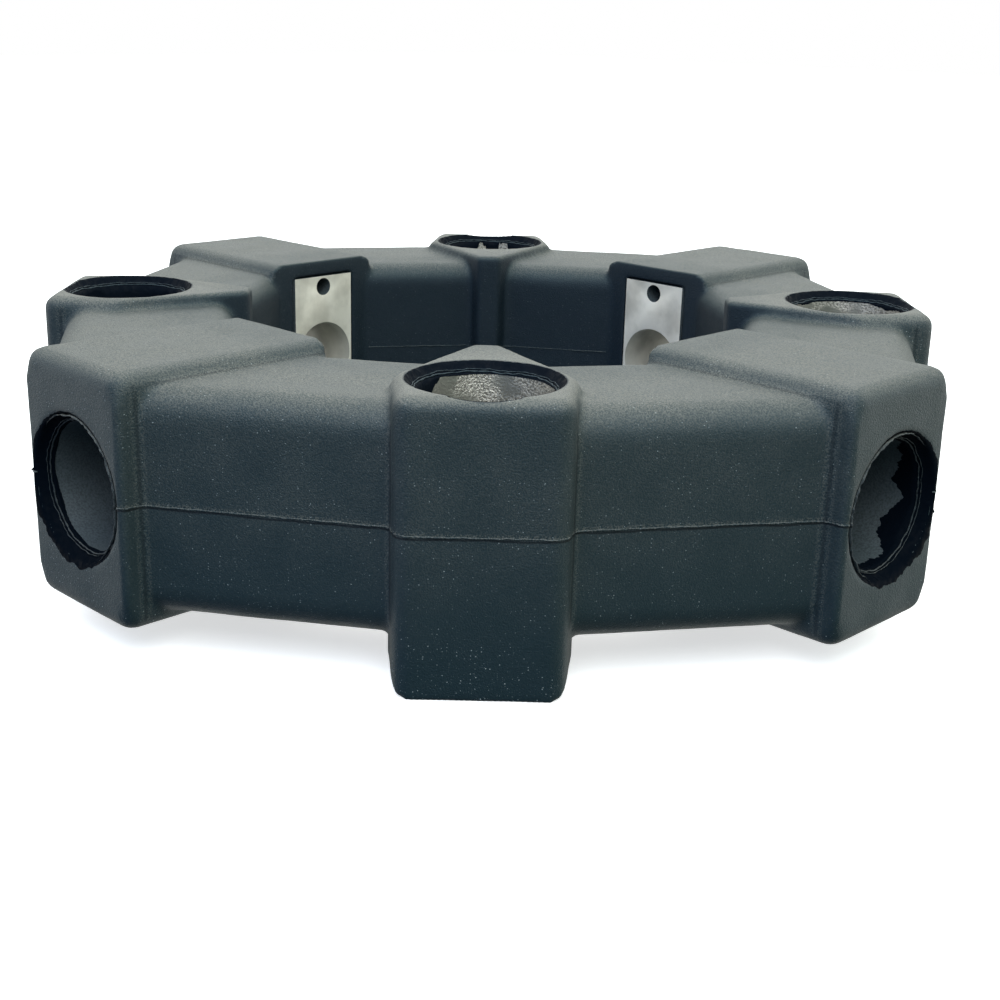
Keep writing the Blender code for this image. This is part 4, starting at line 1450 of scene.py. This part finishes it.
@dataclass
class Studio:
    """The floor, the soft lights and the camera at the photograph's viewing angle."""

    camera_place: tuple = (0.421, -338.883, 116.589)  # mm, with the nearest lobe towards -Y
    yaw: float = -0.01011
    pitch: float = 0.31918
    roll: float = 0.01984
    focal_pixels: float = 1492.16
    centre_pixel: tuple = (470.72, 504.19)  # where the view's centre line meets the picture
    picture: float = 1000.0
    sensor: float = 36.0  # mm
    nearest_seen: float = 10.0 * MM
    floor_size: float = 3.0
    floor_gap: float = 0.05 * MM

    # The light tent, by how far a direction points to the back, to the side or up.
    around: Span = Span(-0.8, 0.75, 0.45, 1.15)  # its strength, from the front to the back
    overhead: Span = Span(0.3, 1.0, 0.0, 0.9)  # what the top adds
    beside: Span = Span(-0.3, 0.45, 0.3, 1.3)  # the share of it that comes from below, in front and beside
    behind: Span = Span(0.45, 0.85, 1.0, 0.06)  # of that, what is left straight behind
    horizon: tuple = (-0.25, 0.2)  # between which the light from below turns into the light from above
    left_to_right: Span = Span(-0.7, 0.7)
    front_to_back: Span = Span(-0.6, 0.5)
    left_tint: tuple = (0.34, 0.6, 1.12, 1.0)
    right_tint: tuple = (0.81, 1.06, 0.94, 1.0)
    back_tint: tuple = (1.01, 1.02, 0.95, 1.0)

    def build(self) -> None:
        """Builds the floor, lights, world and camera."""
        self.floor()
        self.world()
        self.lights()
        self.camera()

    def floor(self) -> None:
        """A wide pale floor at the coupling's underside."""
        shape = bmesh.new()
        bmesh.ops.create_grid(shape, x_segments=1, y_segments=1, size=self.floor_size)
        bmesh.ops.translate(shape, verts=shape.verts, vec=(0.0, 0.0, -self.floor_gap))
        floor = workpiece(mesh_of(shape, "floor"))
        floor.data.materials.append(PaleFloor().material())
        floor.visible_diffuse = False
        floor.visible_glossy = False

    def world(self) -> None:
        """A white surround that the camera sees, and a light tent, dim in front, that lights the part."""
        world = bpy.data.worlds.new("studio")
        bpy.context.scene.world = world
        world.use_nodes = True
        tree = world.node_tree
        tree.nodes.clear()
        path = add_node(tree, "ShaderNodeLightPath")
        way = add_node(tree, "ShaderNodeTexCoord").outputs["Generated"]
        diagonal = math.sqrt(0.5)
        to_back = {"operation": "DOT_PRODUCT", 1: (-diagonal, diagonal, 0.15)}
        to_side = {"operation": "DOT_PRODUCT", 1: (diagonal, diagonal, 0.0)}
        back = add_node(tree, VECTORS, to_back, {0: way}).outputs["Value"]
        side = add_node(tree, VECTORS, to_side, {0: way}).outputs["Value"]
        up = add_node(tree, "ShaderNodeSeparateXYZ", None, {0: way}).outputs["Z"]
        around = add_node(tree, RANGE, self.around.settings, {0: back}).outputs[0]
        overhead = add_node(tree, RANGE, self.overhead.settings, {0: up}).outputs[0]
        strength = add_node(tree, MATH, {"operation": "ADD"}, {0: around, 1: overhead}).outputs[0]
        beside = add_node(tree, RANGE, self.beside.settings, {0: back}).outputs[0]
        behind = add_node(tree, RANGE, self.behind.settings, {0: back}).outputs[0]
        low, high = self.horizon
        from_below = {0: up, 3: product(tree, [beside, behind])}
        share = add_node(tree, RANGE, {1: low, 2: high, 4: 1.0}, from_below).outputs[0]
        strength = product(tree, [strength, share])
        rightness = add_node(tree, RANGE, self.left_to_right.settings, {0: side}).outputs[0]
        fronts = {"data_type": "RGBA", 6: self.left_tint, 7: self.right_tint}
        front = add_node(tree, "ShaderNodeMix", fronts, {0: rightness}).outputs[2]
        backness = add_node(tree, RANGE, self.front_to_back.settings, {0: back}).outputs[0]
        tints = {"data_type": "RGBA", 7: self.back_tint}
        tint = add_node(tree, "ShaderNodeMix", tints, {0: backness, 6: front}).outputs[2]
        lit = add_node(tree, "ShaderNodeBackground", None, {"Color": tint, "Strength": strength}).outputs[0]
        white = {"Color": (1.0, 1.0, 1.0, 1.0), "Strength": 1.0}
        seen = add_node(tree, "ShaderNodeBackground", white).outputs[0]
        both = {0: path.outputs["Is Camera Ray"], 1: lit, 2: seen}
        mixed = add_node(tree, "ShaderNodeMixShader", None, both).outputs[0]
        add_node(tree, "ShaderNodeOutputWorld", None, {"Surface": mixed})

    def lights(self) -> None:
        """A large soft light above and behind, one over the front lobes, and a low one on each side."""
        self.area("back softbox", (0.0, 0.9, 0.75), 1.0, 3.0)
        self.area("top softbox", (0.0, -0.42, 0.42), 0.35, 2.0)
        self.area("right softbox", (0.9, 0.12, 0.16), 0.5, 1.6)
        self.area("left softbox", (-0.9, 0.12, 0.16), 0.5, 0.9)

    def area(self, name: str, place: tuple, size: float, power: float) -> None:
        """Adds a square light that faces the part.

        Args:
            name: The light's name.
            place: Where it stands, in metres, with the nearest lobe towards -Y.
            size: Its side.
            power: Its power in watts.
        """
        data = bpy.data.lights.new(name, "AREA")
        data.size = size
        data.energy = power
        light = bpy.data.objects.new(name, data)
        at = Matrix.Rotation(EIGHTH, 4, "Z") @ Vector(place)
        light.location = at
        light.rotation_euler = (-at).to_track_quat("-Z", "Y").to_euler()
        light.visible_camera = False
        bpy.context.scene.collection.objects.link(light)

    def camera(self) -> None:
        """The camera, from its place and three angles, turned with the coupling's frame."""
        forward = Vector(
            (
                math.sin(self.yaw) * math.cos(self.pitch),
                math.cos(self.yaw) * math.cos(self.pitch),
                -math.sin(self.pitch),
            )
        )
        level = Vector((math.cos(self.yaw), -math.sin(self.yaw), 0.0))
        upward = level.cross(forward)
        right = level * math.cos(self.roll) + upward * math.sin(self.roll)
        above = upward * math.cos(self.roll) - level * math.sin(self.roll)
        basis = Matrix((right, above, -forward)).transposed().to_4x4()
        place = Matrix.Translation(Vector(self.camera_place) * MM)
        data = bpy.data.cameras.new("camera")
        data.sensor_width = self.sensor
        data.lens = self.focal_pixels * data.sensor_width / self.picture
        data.shift_x = (self.picture / 2 - self.centre_pixel[0]) / self.picture
        data.shift_y = (self.centre_pixel[1] - self.picture / 2) / self.picture
        data.clip_start = self.nearest_seen
        camera = bpy.data.objects.new("camera", data)
        camera.matrix_world = Matrix.Rotation(EIGHTH, 4, "Z") @ place @ basis
        bpy.context.scene.collection.objects.link(camera)
        bpy.context.scene.camera = camera


def main() -> None:
    """Builds and dresses the coupling."""
    logging.basicConfig(level=logging.INFO, format="%(name)s: %(message)s")
    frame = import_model()
    bpy.context.scene.view_settings.view_transform = "Standard"
    Studio().build()
    moulding = RubberMoulding().build(frame["nodes"])
    PartingLine().build(moulding)
    walls = {Lobe.RADIAL: DulledAluminium().material(), Lobe.AXIAL: CastAluminium().material()}
    milled = MachinedAluminium().material()
    drilled = MachinedAluminium(name="drilled aluminium", colour="#c4c2b8", stain="#aaa89f").material()
    torn = TornRubber().material()
    # painted shade: near-black rubber that lines the axial holes' funnels, with a painted shadow patch in each bore
    funnel_shade = TornRubber(name="unpowdered natural rubber", colour="#070f18", gloss=0.05).material()
    hole_sheet_rubber = {Lobe.RADIAL: torn, Lobe.AXIAL: funnel_shade}
    flash = MouldedRubber(name="powdered rubber flash", colour="#182328", inside_colour="#2b383e").material()
    for kind in Lobe:
        BondedInsert(kind).build_all((walls[kind], milled, drilled))
        for number, turn in enumerate(kind.turns, 1):
            DarkHoleSheet(kind, number).build(turn, moulding, hole_sheet_rubber[kind])
            TornLip(kind, number).build(turn, flash)
    for number, turn in enumerate(Lobe.RADIAL.turns, 1):
        FlashTag(number).build(turn, torn)


if __name__ == "__main__":
    main()
